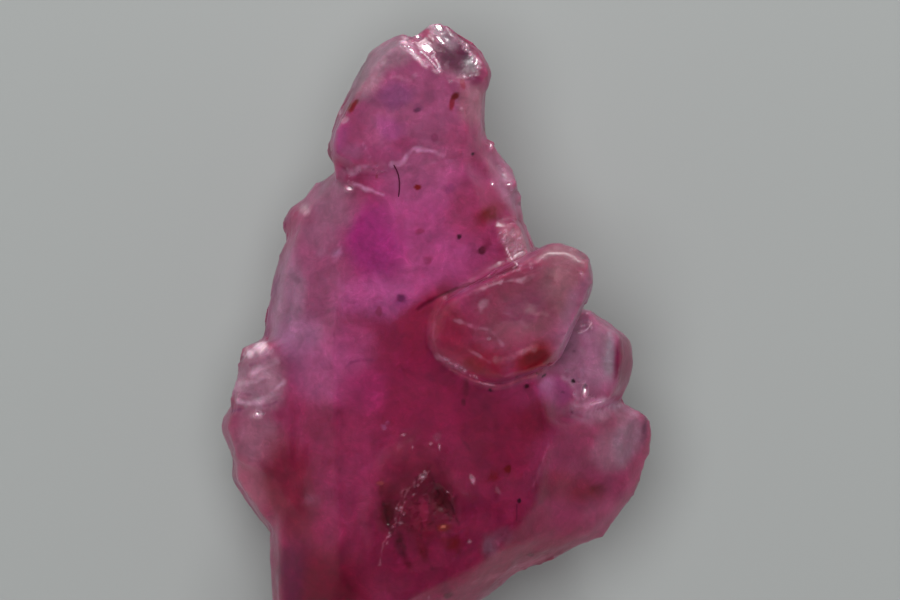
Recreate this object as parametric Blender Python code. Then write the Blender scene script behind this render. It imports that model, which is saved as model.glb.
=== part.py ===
"""Raw ruby: a cluster of intergrown corundum crystals, broken off its rock and lying on its back.

One solid. +Y runs from the broken foot to the crystal head, +X is across the cluster and +Z is up, away
from the surface it lies on. The flat parting face of its back is at Z = 0, and the box around the whole
cluster is centred on the origin in X and Y. Outlines are drawn in millimetres, seen from above.
"""

import math
import random

import bmesh
import bpy
from mathutils import Euler, Matrix, Vector

# Driving dimensions, mm
CLUSTER_LENGTH = 33.7  # foot to tip; every other size follows it
DRAWN_LENGTH = 33.7  # the length that the outlines below are drawn for
METRES = 0.001 * CLUSTER_LENGTH / DRAWN_LENGTH

# heights above the parting face
PARTING_Z = 0.0
WAIST_Z = 3.2
GIRDLE_Z = 7.2  # where the trunk is widest
BROW_Z = 8.9  # where its side walls turn into the front
FRONT_Z = 10.6
CREST_Z = 10.9  # the middle of the gently crowned front
SLAB_TOP_Z = 12.95  # the tabular crystal; its far corner is the highest point
DOME_TOP_Z = 11.25
PIT_DEPTH = 0.6

RUBY = {"colour": (0.42, 0.035, 0.16, 1.0), "roughness": 0.25}


def level(outline, height, lean=(0.0, 0.0), size=1.0, shift=(0.0, 0.0)):
    """The outline as a flat ring of points: resized about its middle, moved, and tilted.

    lean is how far the ring rises for each millimetre along +X and along +Y.
    """
    middle = sum((Vector(point) for point in outline), Vector((0, 0))) / len(outline)
    ring = []
    for point in outline:
        arm = (Vector(point) - middle) * size
        place = middle + arm + Vector(shift)
        ring.append(Vector((place.x, place.y, height + lean[0] * arm.x + lean[1] * arm.y)))
    return ring


def crystal(name, *levels):
    """A convex crystal whose flat faces wrap the given levels."""
    mesh = bpy.data.meshes.new(name)
    shape = bmesh.new()
    for ring in levels:
        for point in ring:
            shape.verts.new(point * METRES)
    bmesh.ops.convex_hull(shape, input=shape.verts)
    buried = [vertex for vertex in shape.verts if not vertex.link_faces]
    bmesh.ops.delete(shape, geom=buried, context="VERTS")
    bmesh.ops.dissolve_limit(shape, angle_limit=math.radians(1), verts=shape.verts, edges=shape.edges)
    bmesh.ops.recalc_face_normals(shape, faces=shape.faces)
    shape.to_mesh(mesh)
    shape.free()
    return bpy.data.objects.new(name, mesh)


def nugget(name, middle, radii, turn=0.0, tilt=(0.0, 0.0), seed=1):
    """A small blunt crystal: an uneven six-sided barrel with smaller end faces, turned and tilted."""
    chance = random.Random(seed)
    rotation = Euler((tilt[0], tilt[1], turn)).to_matrix()
    points = []
    for height, width in ((-1.0, 0.5), (-0.35, 1.0), (0.45, 0.95), (1.0, 0.5)):
        for side in range(6):
            angle = math.tau * (side + chance.uniform(-0.3, 0.3)) / 6
            reach = width * chance.uniform(0.75, 1.1)
            rise = height + chance.uniform(-0.15, 0.15)
            arm = Vector((math.cos(angle) * reach, math.sin(angle) * reach, rise)) * Vector(radii)
            points.append(Vector(middle) + rotation @ arm)
    return crystal(name, points)


def trunk():
    """The large crystal that all the others grew on, from the neck to the broken foot."""
    parting = [
        (-4.2, 6.0), (-5.8, 1.0), (-5.6, -6.8), (-6.5, -12.2), (-4.6, -14.2), (-1.4, -11.8), (3.0, -8.2),
        (4.0, -2.0), (2.5, 5.0), (-0.8, 7.6),
    ]
    girdle = [
        (-5.2, 9.35), (-6.0, 8.9), (-6.55, 8.1), (-7.05, 7.2), (-7.85, 5.2), (-8.3, 3.4), (-8.6, 1.0),
        (-8.25, -12.0), (-8.0, -14.2), (-6.6, -16.2), (-4.6, -16.85), (-3.0, -16.2), (-1.4, -14.4),
        (0.95, -12.0), (3.2, -10.9), (6.2, -8.9), (7.2, -4.0), (6.6, 1.0), (5.2, 5.0), (4.0, 8.4),
        (2.5, 10.8), (-1.0, 11.4),
    ]
    brow = [
        (-4.8, 9.2), (-6.4, 7.6), (-7.4, 5.0), (-8.0, 0.8), (-7.9, -4.0), (-7.75, -12.0), (-6.2, -15.4),
        (-4.4, -15.9), (-1.8, -13.8), (0.8, -11.6), (3.1, -10.5), (5.9, -8.6), (6.7, -4.0), (5.6, 2.6),
        (3.5, 8.2), (1.8, 10.4),
    ]
    front = [
        (-3.0, 8.8), (-4.6, 5.2), (-5.0, 0.0), (-4.8, -6.0), (-4.6, -11.0), (-2.6, -12.6), (0.0, -11.0),
        (3.0, -9.6), (5.0, -6.8), (5.6, -3.4), (4.4, 1.0), (2.8, 5.6), (1.5, 9.4), (-1.0, 10.2),
    ]
    crest = [(-1.8, 6.6), (-2.6, 0.0), (-2.0, -7.5), (1.8, -7.4), (3.0, -3.0), (1.6, 3.6), (0.6, 7.6)]
    return crystal(
        "trunk",
        level(parting, PARTING_Z),
        level(girdle, WAIST_Z, size=0.84),
        level(girdle, GIRDLE_Z, lean=(0.04, 0.03)),
        level(brow, BROW_Z, lean=(0.05, 0.03)),
        level(front, FRONT_Z, lean=(0.01, 0.01)),
        level(crest, CREST_Z),
    )


def head():
    """The terminated crystal at the tip: its main block and its crown."""
    outline = [
        (-5.38, 10.15), (-5.42, 11.0), (-4.81, 12.5), (-4.23, 13.7), (-3.39, 15.47), (-2.63, 15.93),
        (-1.6, 16.35), (-0.4, 15.9), (2.3, 14.2), (2.5, 13.2), (2.5, 11.4), (2.2, 9.4), (-3.6, 9.2),
    ]
    front = [
        (-5.05, 10.3), (-5.0, 11.3), (-4.3, 12.6), (-3.5, 13.9), (-2.75, 14.9), (-1.9, 15.6), (-0.6, 14.7),
        (0.3, 14.15), (1.4, 13.6), (1.6, 12.2), (1.4, 9.6), (-1.5, 9.3), (-3.8, 9.6),
    ]
    block = crystal(
        "head_block",
        level(outline, 2.9, size=0.6, shift=(0.2, -0.9)),
        level(outline, 6.0, lean=(0.1, 0.1), size=0.9, shift=(0.0, -0.3)),
        level(outline, 8.4, lean=(0.08, -0.06)),
        level(outline, 9.3, lean=(0.12, -0.1), size=0.95),
        level(front, FRONT_Z, lean=(0.0, -0.03)),
    )
    return [block, crown(), *crown_steps()]


def crown():
    """The bright face at the tip, which slopes away from the front edge towards the upper right."""
    fall = (-0.24, -0.55)
    face = [
        (-1.45, 15.75), (-0.6, 14.85), (0.2, 14.2), (0.85, 13.85), (2.3, 13.95), (2.62, 14.4), (1.95, 15.55),
        (0.5, 16.45), (-0.1, 16.7), (-0.75, 16.2),
    ]
    outline = [
        (-1.3, 15.6), (-0.85, 16.3), (-0.12, 16.85), (0.3, 16.82), (1.43, 16.15), (2.1, 15.72), (2.55, 15.05),
        (2.85, 14.36), (2.6, 13.5), (0.6, 13.3),
    ]
    return crystal(
        "head_crown",
        level(outline, 4.6, size=0.75, shift=(-0.2, -1.0)),
        level(outline, 7.4, lean=fall, size=0.93, shift=(-0.05, -0.2)),
        level(outline, 8.7, lean=fall),
        level(face, 9.75, lean=fall),
    )


def crown_steps():
    """Growth steps that run down across the crown's bright face."""
    run = Vector((0.62, -0.78))
    away = Vector((0.78, 0.62))
    first = Vector((-0.85, 15.75))
    steps = []
    for number, (offset, length, height) in enumerate([(0.0, 1.5, 9.85), (0.6, 1.7, 9.6), (1.5, 1.5, 9.15)]):
        start = first + away * offset
        strip = [
            start, start + run * length, start + run * (length - 0.3) + away * 0.3,
            start + away * 0.3 + run * 0.3,
        ]
        top = level(strip, height + 0.2, lean=(-0.22, -0.5))
        steps.append(crystal(f"crown_step_{number}", level(strip, 7.5), top))
    return steps


def neck():
    """The waist that joins the head and the trunk, chipped along its upper edge on the left."""
    joint = [
        (-5.05, 9.9), (-5.0, 8.9), (-3.6, 7.4), (1.6, 7.2), (2.9, 8.6), (2.3, 10.8), (1.2, 12.0),
        (-3.0, 11.4),
    ]
    ledge = [(-5.0, 9.85), (-5.0, 9.0), (-4.5, 8.6), (-3.9, 8.6), (-2.6, 8.2), (-2.3, 9.8), (-3.6, 10.0)]
    return [
        crystal(
            "neck",
            level(joint, 4.0, size=0.8),
            level(joint, 9.1, lean=(-0.05, 0.0)),
            level(joint, FRONT_Z - 0.2, lean=(0.0, -0.02), size=0.72, shift=(-0.1, 0.0)),
        ),
        crystal("neck_ledge", level(ledge, 8.0), level(ledge, 10.2, lean=(0.14, 0.0), size=0.96)),
    ]


def slab():
    """The tabular crystal that lies across the front: a slanted left end, a stepped top, a bevelled rim."""
    outline = [
        (4.67, 5.34), (5.5, 5.75), (6.05, 5.88), (7.0, 5.55), (7.75, 5.1), (7.98, 4.1), (7.8, 3.4),
        (7.3, 2.3), (6.65, 1.2), (6.15, -0.05), (4.4, -0.9), (3.2, -1.3), (2.3, -1.2), (1.25, -0.7),
        (0.1, 0.2), (-0.25, 0.9), (-0.2, 2.0), (0.2, 2.9), (1.85, 3.6), (2.85, 4.06),
    ]
    top = [
        (1.3, 3.15), (1.6, 1.6), (2.1, 0.3), (3.4, -0.8), (5.4, -0.25), (6.4, 1.1), (7.45, 3.1), (7.6, 4.4),
        (6.8, 5.25), (5.3, 5.3), (3.3, 4.15),
    ]
    return crystal(
        "slab",
        level(outline, SLAB_TOP_Z - 4.6, size=0.74, shift=(-0.5, 0.0)),
        level(outline, SLAB_TOP_Z - 2.0, lean=(0.05, 0.04)),
        level(outline, SLAB_TOP_Z - 1.35, lean=(0.07, 0.05), size=0.975),
        level(top, SLAB_TOP_Z - 0.5, lean=(0.05, 0.05)),
    )


def slab_steps():
    """Two growth steps along the upper left edge of the slab, and the chips at its far end."""
    step = [(0.7, 3.0), (1.85, 3.72), (4.0, 4.75), (5.0, 5.35), (5.9, 5.2), (4.0, 3.0), (1.4, 1.9)]
    return [
        crystal("slab_step_lower", level(step, 9.9), level(step, SLAB_TOP_Z - 1.0, lean=(0.07, 0.05))),
        crystal(
            "slab_step_upper",
            level(step, 10.4),
            level(step, SLAB_TOP_Z - 0.42, lean=(0.07, 0.05), size=0.9, shift=(0.1, -0.1)),
        ),
        nugget("slab_end_chip", (7.25, 4.65, 12.1), (0.58, 0.55, 0.75), turn=0.3),
        nugget("slab_edge_chip", (7.5, 3.95, 11.9), (0.42, 0.5, 0.6), turn=0.9),
    ]


def right_crystal():
    """The clear crystal behind the slab, whose steep end face shows as a dark band."""
    outline = [
        (7.56, 2.5), (8.45, 1.87), (9.44, 1.28), (9.8, 0.83), (9.9, -0.16), (9.74, -0.95), (9.34, -1.94),
        (8.0, -2.8), (6.4, -2.6), (5.0, -1.5), (5.2, 0.6), (6.3, 2.2),
    ]
    top = [
        (7.5, 2.25), (8.4, 1.7), (9.05, 1.1), (9.2, 0.2), (9.05, -1.1), (8.6, -1.9), (7.6, -2.4), (6.2, -2.2),
        (5.4, -1.2), (5.8, 1.6),
    ]
    return crystal(
        "right_crystal",
        level(outline, 3.2, size=0.45, shift=(-2.4, 0.0)),
        level(outline, 6.6, lean=(-0.05, 0.0)),
        level(outline, 7.6, lean=(-0.05, 0.0)),
        level(top, 9.5, lean=(-0.22, 0.05)),
    )


def lower_right_crystal():
    """The big crystal of the lower right: a ridge on its left, a slope down to its clear end on its right."""
    outline = [
        (9.34, -1.94), (10.6, -2.72), (10.86, -3.4), (10.9, -3.9), (10.72, -4.85), (10.2, -6.2), (9.8, -7.0),
        (9.3, -7.5), (8.45, -8.8), (7.5, -9.2), (5.6, -10.05), (3.2, -10.9), (1.5, -8.5), (2.5, -4.0),
        (5.5, -2.2),
    ]
    brow = [
        (8.2, -2.6), (10.1, -2.9), (10.35, -3.9), (10.1, -5.0), (9.3, -6.9), (8.0, -8.4), (5.6, -9.5),
        (3.2, -10.4), (2.0, -8.0), (3.0, -4.0), (6.0, -2.7),
    ]
    ridge = [(6.0, -3.3), (5.5, -5.0), (4.9, -6.9), (3.4, -9.0), (2.6, -6.0), (4.4, -3.2)]
    return crystal(
        "lower_right_crystal",
        level(outline, 1.9, size=0.5, shift=(-2.1, 0.4)),
        level(outline, 6.8, lean=(-0.05, -0.08)),
        level(brow, 7.9, lean=(-0.16, -0.1)),
        level(ridge, FRONT_Z - 0.15, lean=(0.0, 0.03)),
    )


def left_crystal():
    """The lowest and largest of the left side's parallel crystals."""
    outline = [
        (-10.5, -2.4), (-10.9, -3.24), (-10.5, -4.2), (-10.2, -5.1), (-8.8, -6.6), (-6.2, -6.4), (-5.4, -3.0),
        (-7.0, -1.4),
    ]
    top = [(-10.0, -2.5), (-10.4, -3.3), (-9.9, -4.9), (-8.2, -5.9), (-5.8, -4.6), (-6.4, -2.0)]
    return crystal(
        "left_crystal",
        level(outline, 1.8, size=0.5, shift=(1.2, 0.0)),
        level(outline, 6.0, lean=(0.15, 0.0)),
        level(top, 8.75, lean=(0.38, 0.0)),
    )


def left_ledges():
    """A stack of thin plates in parallel growth above the left crystal, whose edges stand up as ridges."""
    core = [(-9.6, 0.6), (-9.85, -0.6), (-10.3, -2.3), (-8.0, -3.2), (-5.8, -2.4), (-5.6, 1.6), (-8.6, 1.0)]
    plates = [crystal(
        "ledge_core",
        level(core, 2.2, size=0.6, shift=(0.9, 0.0)),
        level(core, 6.2, lean=(0.2, 0.0)),
        level(core, 8.7, lean=(0.42, 0.05), size=0.93, shift=(0.15, 0.0)),
    )]
    # each plate's outer tip, its height there, how many degrees it rises to the right, and its length
    plans = [
        (-9.75, 0.3, 7.7, 12, 2.0), (-10.0, -0.5, 7.9, 30, 2.6), (-10.15, -1.3, 7.6, 24, 1.9),
        (-10.35, -2.0, 7.8, 17, 2.4),
    ]
    for number, (x, y, height, rise, length) in enumerate(plans):
        along = Vector((math.cos(math.radians(rise)), math.sin(math.radians(rise))))
        across = Vector((-along.y, along.x)) * 0.26
        tip = Vector((x, y))
        inner = tip + along * length
        outline = [
            tip - across, tip + across + along * 0.15, tip + across * 1.3 + along * 1.2, inner + across * 0.6,
            inner - across * 0.6, tip - across * 1.3 + along * 0.9,
        ]
        plates.append(crystal(
            f"ledge_plate_{number}",
            level(outline, 4.2 + 0.2 * number, size=0.8, shift=(0.7, 0.0)),
            level(outline, height, lean=(0.3, 0.0)),
            level(outline, height + 1.1, lean=(0.45, 0.2), size=0.86, shift=(0.25, 0.0)),
        ))
    return plates


def lower_left_crystal():
    """The rounded flank between the left crystal and the foot."""
    outline = [
        (-10.25, -4.6), (-10.3, -6.0), (-9.9, -6.7), (-9.2, -7.35), (-8.5, -8.1), (-8.2, -8.9), (-5.0, -9.6),
        (-3.2, -6.0), (-6.0, -3.4),
    ]
    return crystal(
        "lower_left_crystal",
        level(outline, 1.0, size=0.6, shift=(1.0, 0.0)),
        level(outline, 4.4),
        level(outline, 8.0, lean=(0.35, 0.05), size=0.95, shift=(0.2, 0.1)),
        level(outline, 9.3, lean=(0.3, 0.0), size=0.6, shift=(1.4, 0.2)),
    )


def dome():
    """The blunt crystal low on the front, which the etched hollows are cut into."""
    outline = [
        (-3.35, -6.2), (-2.85, -4.95), (-2.1, -4.1), (-1.3, -3.65), (-0.2, -4.0), (0.75, -5.1), (1.7, -6.6),
        (1.9, -8.4), (0.6, -10.0), (-1.6, -10.6), (-3.2, -9.6), (-3.7, -8.0),
    ]
    return crystal(
        "dome",
        level(outline, 8.4),
        level(outline, CREST_Z, lean=(0.0, 0.05)),
        level(outline, DOME_TOP_Z, lean=(0.0, 0.05), size=0.7, shift=(-0.1, 0.2)),
    )


def shoulder_crystals():
    """The right shoulder under the head, and the row of small blunt crystals along it."""
    outline = [
        (2.4, 10.9), (3.2, 9.75), (3.8, 8.85), (4.15, 8.1), (4.1, 7.3), (4.4, 6.2), (4.2, 4.8), (1.8, 5.2),
        (0.6, 9.0),
    ]
    block = crystal(
        "shoulder",
        level(outline, 2.8, size=0.6, shift=(-0.6, -0.3)),
        level(outline, 7.3, lean=(-0.1, 0.0)),
        level(outline, 9.8, lean=(-0.5, 0.0), size=0.86, shift=(-0.35, 0.0)),
    )
    row = [
        (2.7, 10.5, 8.9), (3.1, 9.85, 8.5), (3.45, 9.3, 8.3), (3.62, 8.78, 8.9), (3.9, 8.1, 8.1),
        (3.95, 7.2, 8.3),
    ]
    beads = [
        nugget(f"shoulder_bead_{number}", place, (0.4, 0.5, 0.65), turn=0.5 * number, seed=number)
        for number, place in enumerate(row)
    ]
    return [block, *beads]


def rough_patch():
    """The little rough crystal between the shoulder and the slab, broken into small facets."""
    outline = [(3.1, 6.9), (3.9, 7.15), (4.35, 6.6), (4.65, 5.7), (4.6, 4.9), (3.5, 4.4), (2.9, 5.4)]
    block = crystal(
        "rough_block",
        level(outline, 6.5),
        level(outline, 9.2, lean=(-0.2, 0.0)),
        level(outline, 10.45, lean=(-0.3, 0.0), size=0.75),
    )
    chance = random.Random(7)
    facets = []
    for number in range(9):
        along = number / 8
        middle = (
            3.25 + 1.0 * along + chance.uniform(-0.25, 0.25),
            6.75 - 1.75 * along + chance.uniform(-0.3, 0.3),
            10.1 - 0.3 * along,
        )
        radii = (chance.uniform(0.2, 0.34), chance.uniform(0.2, 0.34), 0.42)
        facets.append(nugget(f"rough_facet_{number}", middle, radii, turn=chance.uniform(0, 3), seed=number))
    return [block, *facets]


def side_crystals():
    """Blunt crystals on the flanks and the back: place, radii, turn and tilt."""
    places = {
        "left_bump": ((-6.6, 6.95, 6.9), (1.05, 1.15, 1.9), 0.2, (0.1, 0.2)),
        "right_notch_chip": ((7.3, -2.5, 8.2), (1.2, 0.6, 0.9), 0.1, (0.1, 0.2)),
        "right_crystal_chip": ((7.3, 2.0, 8.9), (0.6, 0.5, 0.8), 0.7, (0.1, 0.3)),
        "back_left": ((-5.2, 3.4, 3.6), (2.5, 3.2, 2.4), 0.4, (0.2, -0.4)),
        "back_left_low": ((-6.2, -4.4, 3.4), (2.5, 2.8, 2.3), 1.3, (-0.2, -0.4)),
        "back_right": ((4.3, -5.8, 3.9), (3.0, 2.7, 2.6), 0.9, (0.2, 0.35)),
        "back_right_high": ((4.2, 2.6, 4.1), (2.2, 3.4, 2.9), 0.2, (-0.1, 0.6)),
        "back_head": ((-2.3, 11.3, 4.6), (2.1, 2.9, 2.7), 0.1, (0.5, -0.3)),
        "back_neck": ((0.7, 9.0, 3.6), (2.2, 2.9, 2.4), 0.7, (0.35, 0.3)),
        "foot_lump": ((-6.3, -12.4, 4.2), (1.9, 2.6, 2.9), 0.3, (0.0, -0.3)),
        "foot_break": ((-3.6, -14.4, 5.4), (2.2, 1.8, 2.6), 0.6, (-0.5, 0.2)),
    }
    return [nugget(name, *place, seed=number) for number, (name, place) in enumerate(places.items())]


def pits():
    """The long etched hollows in the dome: middle, half width and half length, and turn."""
    places = [
        ((-2.35, -7.8), (0.45, 1.05), 0.12),
        ((-1.75, -9.5), (0.42, 0.95), 0.30),
        ((0.35, -7.2), (0.5, 1.2), 0.60),
        ((0.8, -8.9), (0.45, 0.8), 0.55),
    ]
    corners = 8
    chance = random.Random(3)
    hollows = []
    for number, (middle, radii, turn) in enumerate(places):
        mouth = []
        for corner in range(corners):
            angle = math.tau * corner / corners
            reach = chance.uniform(0.75, 1.2)
            arm = Vector((math.cos(angle) * radii[0], math.sin(angle) * radii[1])) * reach
            mouth.append(Vector(middle) + Matrix.Rotation(turn, 2) @ arm)
        hollows.append(crystal(
            f"pit_{number}",
            level(mouth, DOME_TOP_Z + 0.8, size=1.5),
            level(mouth, DOME_TOP_Z - 0.2),
            level(mouth, DOME_TOP_Z - PIT_DEPTH, size=0.3, shift=(0.1, 0.2)),
        ))
    return hollows


def helpers(name, objects):
    """A hidden collection that holds the shapes a Boolean joins or cuts away."""
    group = bpy.data.collections.new(name)
    group.hide_render = True
    bpy.context.scene.collection.children.link(group)
    for thing in objects:
        thing.hide_render = True
        thing.display_type = "WIRE"
        group.objects.link(thing)
    return group


def boolean(target, name, operation, group):
    modifier = target.modifiers.new(name, "BOOLEAN")
    modifier.operation = operation
    modifier.operand_type = "COLLECTION"
    modifier.collection = group
    modifier.solver = "EXACT"


def ruby_material():
    material = bpy.data.materials.new("ruby")
    material.use_nodes = True
    surface = material.node_tree.nodes["Principled BSDF"]
    surface.inputs["Base Color"].default_value = RUBY["colour"]
    surface.inputs["Roughness"].default_value = RUBY["roughness"]
    surface.inputs["Metallic"].default_value = 0.0
    return material


def main():
    for thing in list(bpy.data.objects):
        bpy.data.objects.remove(thing)
    cluster = trunk()
    cluster.name = "ruby_crystal"
    cluster.data.materials.append(ruby_material())
    bpy.context.scene.collection.objects.link(cluster)
    grown = [
        *head(), *neck(), slab(), *slab_steps(), right_crystal(), lower_right_crystal(), left_crystal(),
        *left_ledges(), lower_left_crystal(), dome(), *shoulder_crystals(), *rough_patch(), *side_crystals(),
    ]
    boolean(cluster, "grown together", "UNION", helpers("crystals", grown))
    boolean(cluster, "etched hollows", "DIFFERENCE", helpers("hollows", pits()))


main()
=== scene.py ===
import math
import random

import bmesh
import bpy
import numpy as np
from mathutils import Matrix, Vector
from mathutils.bvhtree import BVHTree


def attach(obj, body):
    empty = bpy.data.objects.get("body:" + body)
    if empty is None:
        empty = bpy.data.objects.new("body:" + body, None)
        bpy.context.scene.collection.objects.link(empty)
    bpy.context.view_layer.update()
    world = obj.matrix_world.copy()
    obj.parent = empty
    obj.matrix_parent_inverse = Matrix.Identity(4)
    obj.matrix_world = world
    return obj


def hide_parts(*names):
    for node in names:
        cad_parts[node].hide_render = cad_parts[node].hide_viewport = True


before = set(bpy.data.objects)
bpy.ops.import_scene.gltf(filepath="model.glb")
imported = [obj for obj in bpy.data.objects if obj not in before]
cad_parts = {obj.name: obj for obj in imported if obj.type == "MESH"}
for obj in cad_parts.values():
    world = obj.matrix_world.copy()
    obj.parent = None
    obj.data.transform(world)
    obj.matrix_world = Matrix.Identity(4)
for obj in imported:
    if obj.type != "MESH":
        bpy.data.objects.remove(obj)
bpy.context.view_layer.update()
print("frame loaded:", len(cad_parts), "solid")

mm = 0.001               # lengths below are in millimetres, in the solid's own frame


def linear(hexColour):
    # sRGB hex to the linear values that shaders take
    values = []
    for start in (1, 3, 5):
        value = int(hexColour[start:start + 2], 16) / 255
        values.append(value / 12.92 if value <= 0.04045 else ((value + 0.055) / 1.055) ** 2.4)
    return (*values, 1.0)


def smoothStep(low, high, values):
    share = np.clip((values - low) / (high - low), 0, 1)
    return share * share * (3 - 2 * share)


def scatter(cell, seed):
    # a fixed random number from -1 to 1 for each grid cell
    mixed = cell[:, 0] * 73856093 ^ cell[:, 1] * 19349663 ^ cell[:, 2] * 83492791 ^ seed * 6542989
    mixed = (mixed ^ mixed >> 13) * 1274126177
    return ((mixed ^ mixed >> 16) & 0xFFFF) / 32767.5 - 1


def noise(points, size, seed):
    # smooth noise from -1 to 1, with bumps about one size across
    places = points / size + 17.3 * seed
    cell = np.floor(places).astype(np.int64)
    local = places - cell
    fade = local * local * (3 - 2 * local)
    total = np.zeros(len(points))
    for corner in range(8):
        step = np.array([corner & 1, corner >> 1 & 1, corner >> 2 & 1])
        total += scatter(cell + step, seed) * np.prod(np.where(step, fade, 1 - fade), axis=1)
    return total


def layeredNoise(points, size, layers, seed):
    total = np.zeros(len(points))
    for layer in range(layers):
        total += noise(points, size / 2 ** layer, seed + layer) / 2 ** layer
    return total


def brokenFacets(points, size, seed):
    # height from -1 to 1 of a broken surface: each small cell is a flat face with its own tilt
    places = points / size
    cell = np.floor(places).astype(np.int64)
    nearest = np.full(len(points), 1e9)
    height = np.zeros(len(points))
    for corner in range(27):
        at = cell + np.array([corner % 3 - 1, corner // 3 % 3 - 1, corner // 9 - 1])
        seat = at + 0.5 + 0.4 * np.stack([scatter(at, seed + k) for k in range(3)], axis=1)
        away = places - seat
        distance = np.einsum("ij,ij->i", away, away)
        tilted = sum(away[:, k] * scatter(at, seed + 10 + k) for k in range(3))
        closer = distance < nearest
        height[closer] = tilted[closer]
        nearest[closer] = distance[closer]
    return height


def blob(points, zone, core=0.3):
    # 1 in the core of an ellipse seen from above, falling smoothly to 0 at its edge
    x, y, half, otherHalf, degrees = zone
    turn = math.radians(degrees)
    across, along = points[:, 0] - x, points[:, 1] - y
    first = (across * math.cos(turn) + along * math.sin(turn)) / half
    second = (along * math.cos(turn) - across * math.sin(turn)) / otherHalf
    return 1 - smoothStep(core, 1.0, np.hypot(first, second))


def largest(points, zones):
    return np.max([blob(points, zone) for zone in zones], axis=0)


def nearLine(points, line, reach):
    # which points lie in the box around a line, seen from above
    low, high = np.min(line, axis=0) - reach, np.max(line, axis=0) + reach
    return np.flatnonzero(np.all((points[:, :2] > low) & (points[:, :2] < high), axis=1))


def awayFromLine(points, line):
    # distance from a line drawn on the surface, seen from above
    best = np.full(len(points), 1e9)
    for start, end in zip(line, line[1:]):
        start, run = np.array(start), np.array(end) - np.array(start)
        share = np.clip((points[:, :2] - start) @ run / (run @ run), 0, 1)
        best = np.minimum(best, np.linalg.norm(points[:, :2] - start - share[:, None] * run, axis=1))
    return best


def placed(name, data):
    # a new object in the scene
    thing = bpy.data.objects.new(name, data)
    bpy.context.scene.collection.objects.link(thing)
    return thing


def mattMaterial(name, hexColour, roughness):
    material = bpy.data.materials.new(name)
    material.use_nodes = True
    surface = material.node_tree.nodes["Principled BSDF"]
    surface.inputs["Base Color"].default_value = linear(hexColour)
    surface.inputs["Roughness"].default_value = roughness
    return material


def addNode(tree, kind, settings=None, **links):
    # one node with its settings (properties, or values of its sockets) and its links: a linked socket is
    # called by its name without spaces, or by its number after _
    node = tree.nodes.new("ShaderNode" + kind)
    for name, value in (settings or {}).items():
        if isinstance(name, int) or name in node.inputs:
            node.inputs[name].default_value = value
        else:
            setattr(node, name, value)
    for name, source in links.items():
        if name[0] == "_":
            socket = node.inputs[int(name[1:])]
        else:
            socket = next(s for s in node.inputs if s.name.replace(" ", "") == name and s.enabled)
        tree.links.new(source, socket)
    return node


def addRange(tree, value, fromLow, fromHigh, toLow=0.0, toHigh=1.0):
    # the value, with one range stretched to another and cut off beyond it
    return addNode(tree, "MapRange", {
        "From Min": fromLow, "From Max": fromHigh, "To Min": toLow, "To Max": toHigh},
        Value=value).outputs["Result"]


def addNoise(tree, place, size, detail, roughness=0.5, distortion=0.0):
    # noise whose bumps are about size mm across; it mostly lies between 0.3 and 0.7
    return addNode(tree, "TexNoise", {
        "Scale": 1 / (size * mm), "Detail": detail, "Roughness": roughness, "Distortion": distortion},
        Vector=place).outputs["Fac"]


# Camera: straight down on the cluster, whose head points to the top of the view
picture = {
    "mmAcross": 45.0,            # width of the view, at the level of the cluster's front
    "middle": (0.7, 3.0),
    "cameraHeight": 600.0,
    "frontHeight": 9.0,
    "sensor": 36.0,
    "clip": (10.0, 10000.0),
}


def buildCamera():
    lens = bpy.data.cameras.new("camera")
    lens.sensor_width = picture["sensor"]
    lens.lens = picture["sensor"] * (picture["cameraHeight"] - picture["frontHeight"]) / picture["mmAcross"]
    lens.clip_start, lens.clip_end = (distance * mm for distance in picture["clip"])
    camera = placed("camera", lens)
    camera.location = Vector((*picture["middle"], picture["cameraHeight"])) * mm
    bpy.context.scene.camera = camera


# Setting: pale card, a studio with light walls and a dim ceiling, a small hard lamp beyond the head for the
# glints, and a large soft one overhead
setting = {
    "card": "#A3A6A5",
    "cardRoughness": 0.9,
    "cardSize": 3000.0,
    "cardDepth": 0.02,               # how far it lies below the cluster's lowest face
    "lookedAt": (0.0, 0.0, 6.0),     # the lamps point there
    "walls": 2.0,
    "ceiling": 0.04,
    "ceilingFrom": (0.08, 0.55),     # how far up, from 0 at the horizon to 1 overhead, the walls fade out
    "mirrored": 0.16,                # how bright the walls are in what the faces mirror
    "lamps": {
        # name: (place, size, watts, seen in reflections)
        "key": ((22.0, 158.0, 66.0), 36.0, 0.11, True),
        "soft": ((-20.0, 20.0, 230.0), 170.0, 0.39, False),
    },
}


def addLamp(name, place, size, watts, mirrored):
    lamp = bpy.data.lights.new(name, "AREA")
    lamp.shape = "DISK"
    lamp.size = size * mm
    lamp.energy = watts
    thing = placed(name, lamp)
    thing.location = Vector(place) * mm
    towards = Vector(setting["lookedAt"]) * mm - thing.location
    thing.rotation_euler = towards.to_track_quat("-Z", "Y").to_euler()
    thing.visible_glossy = mirrored


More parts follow.
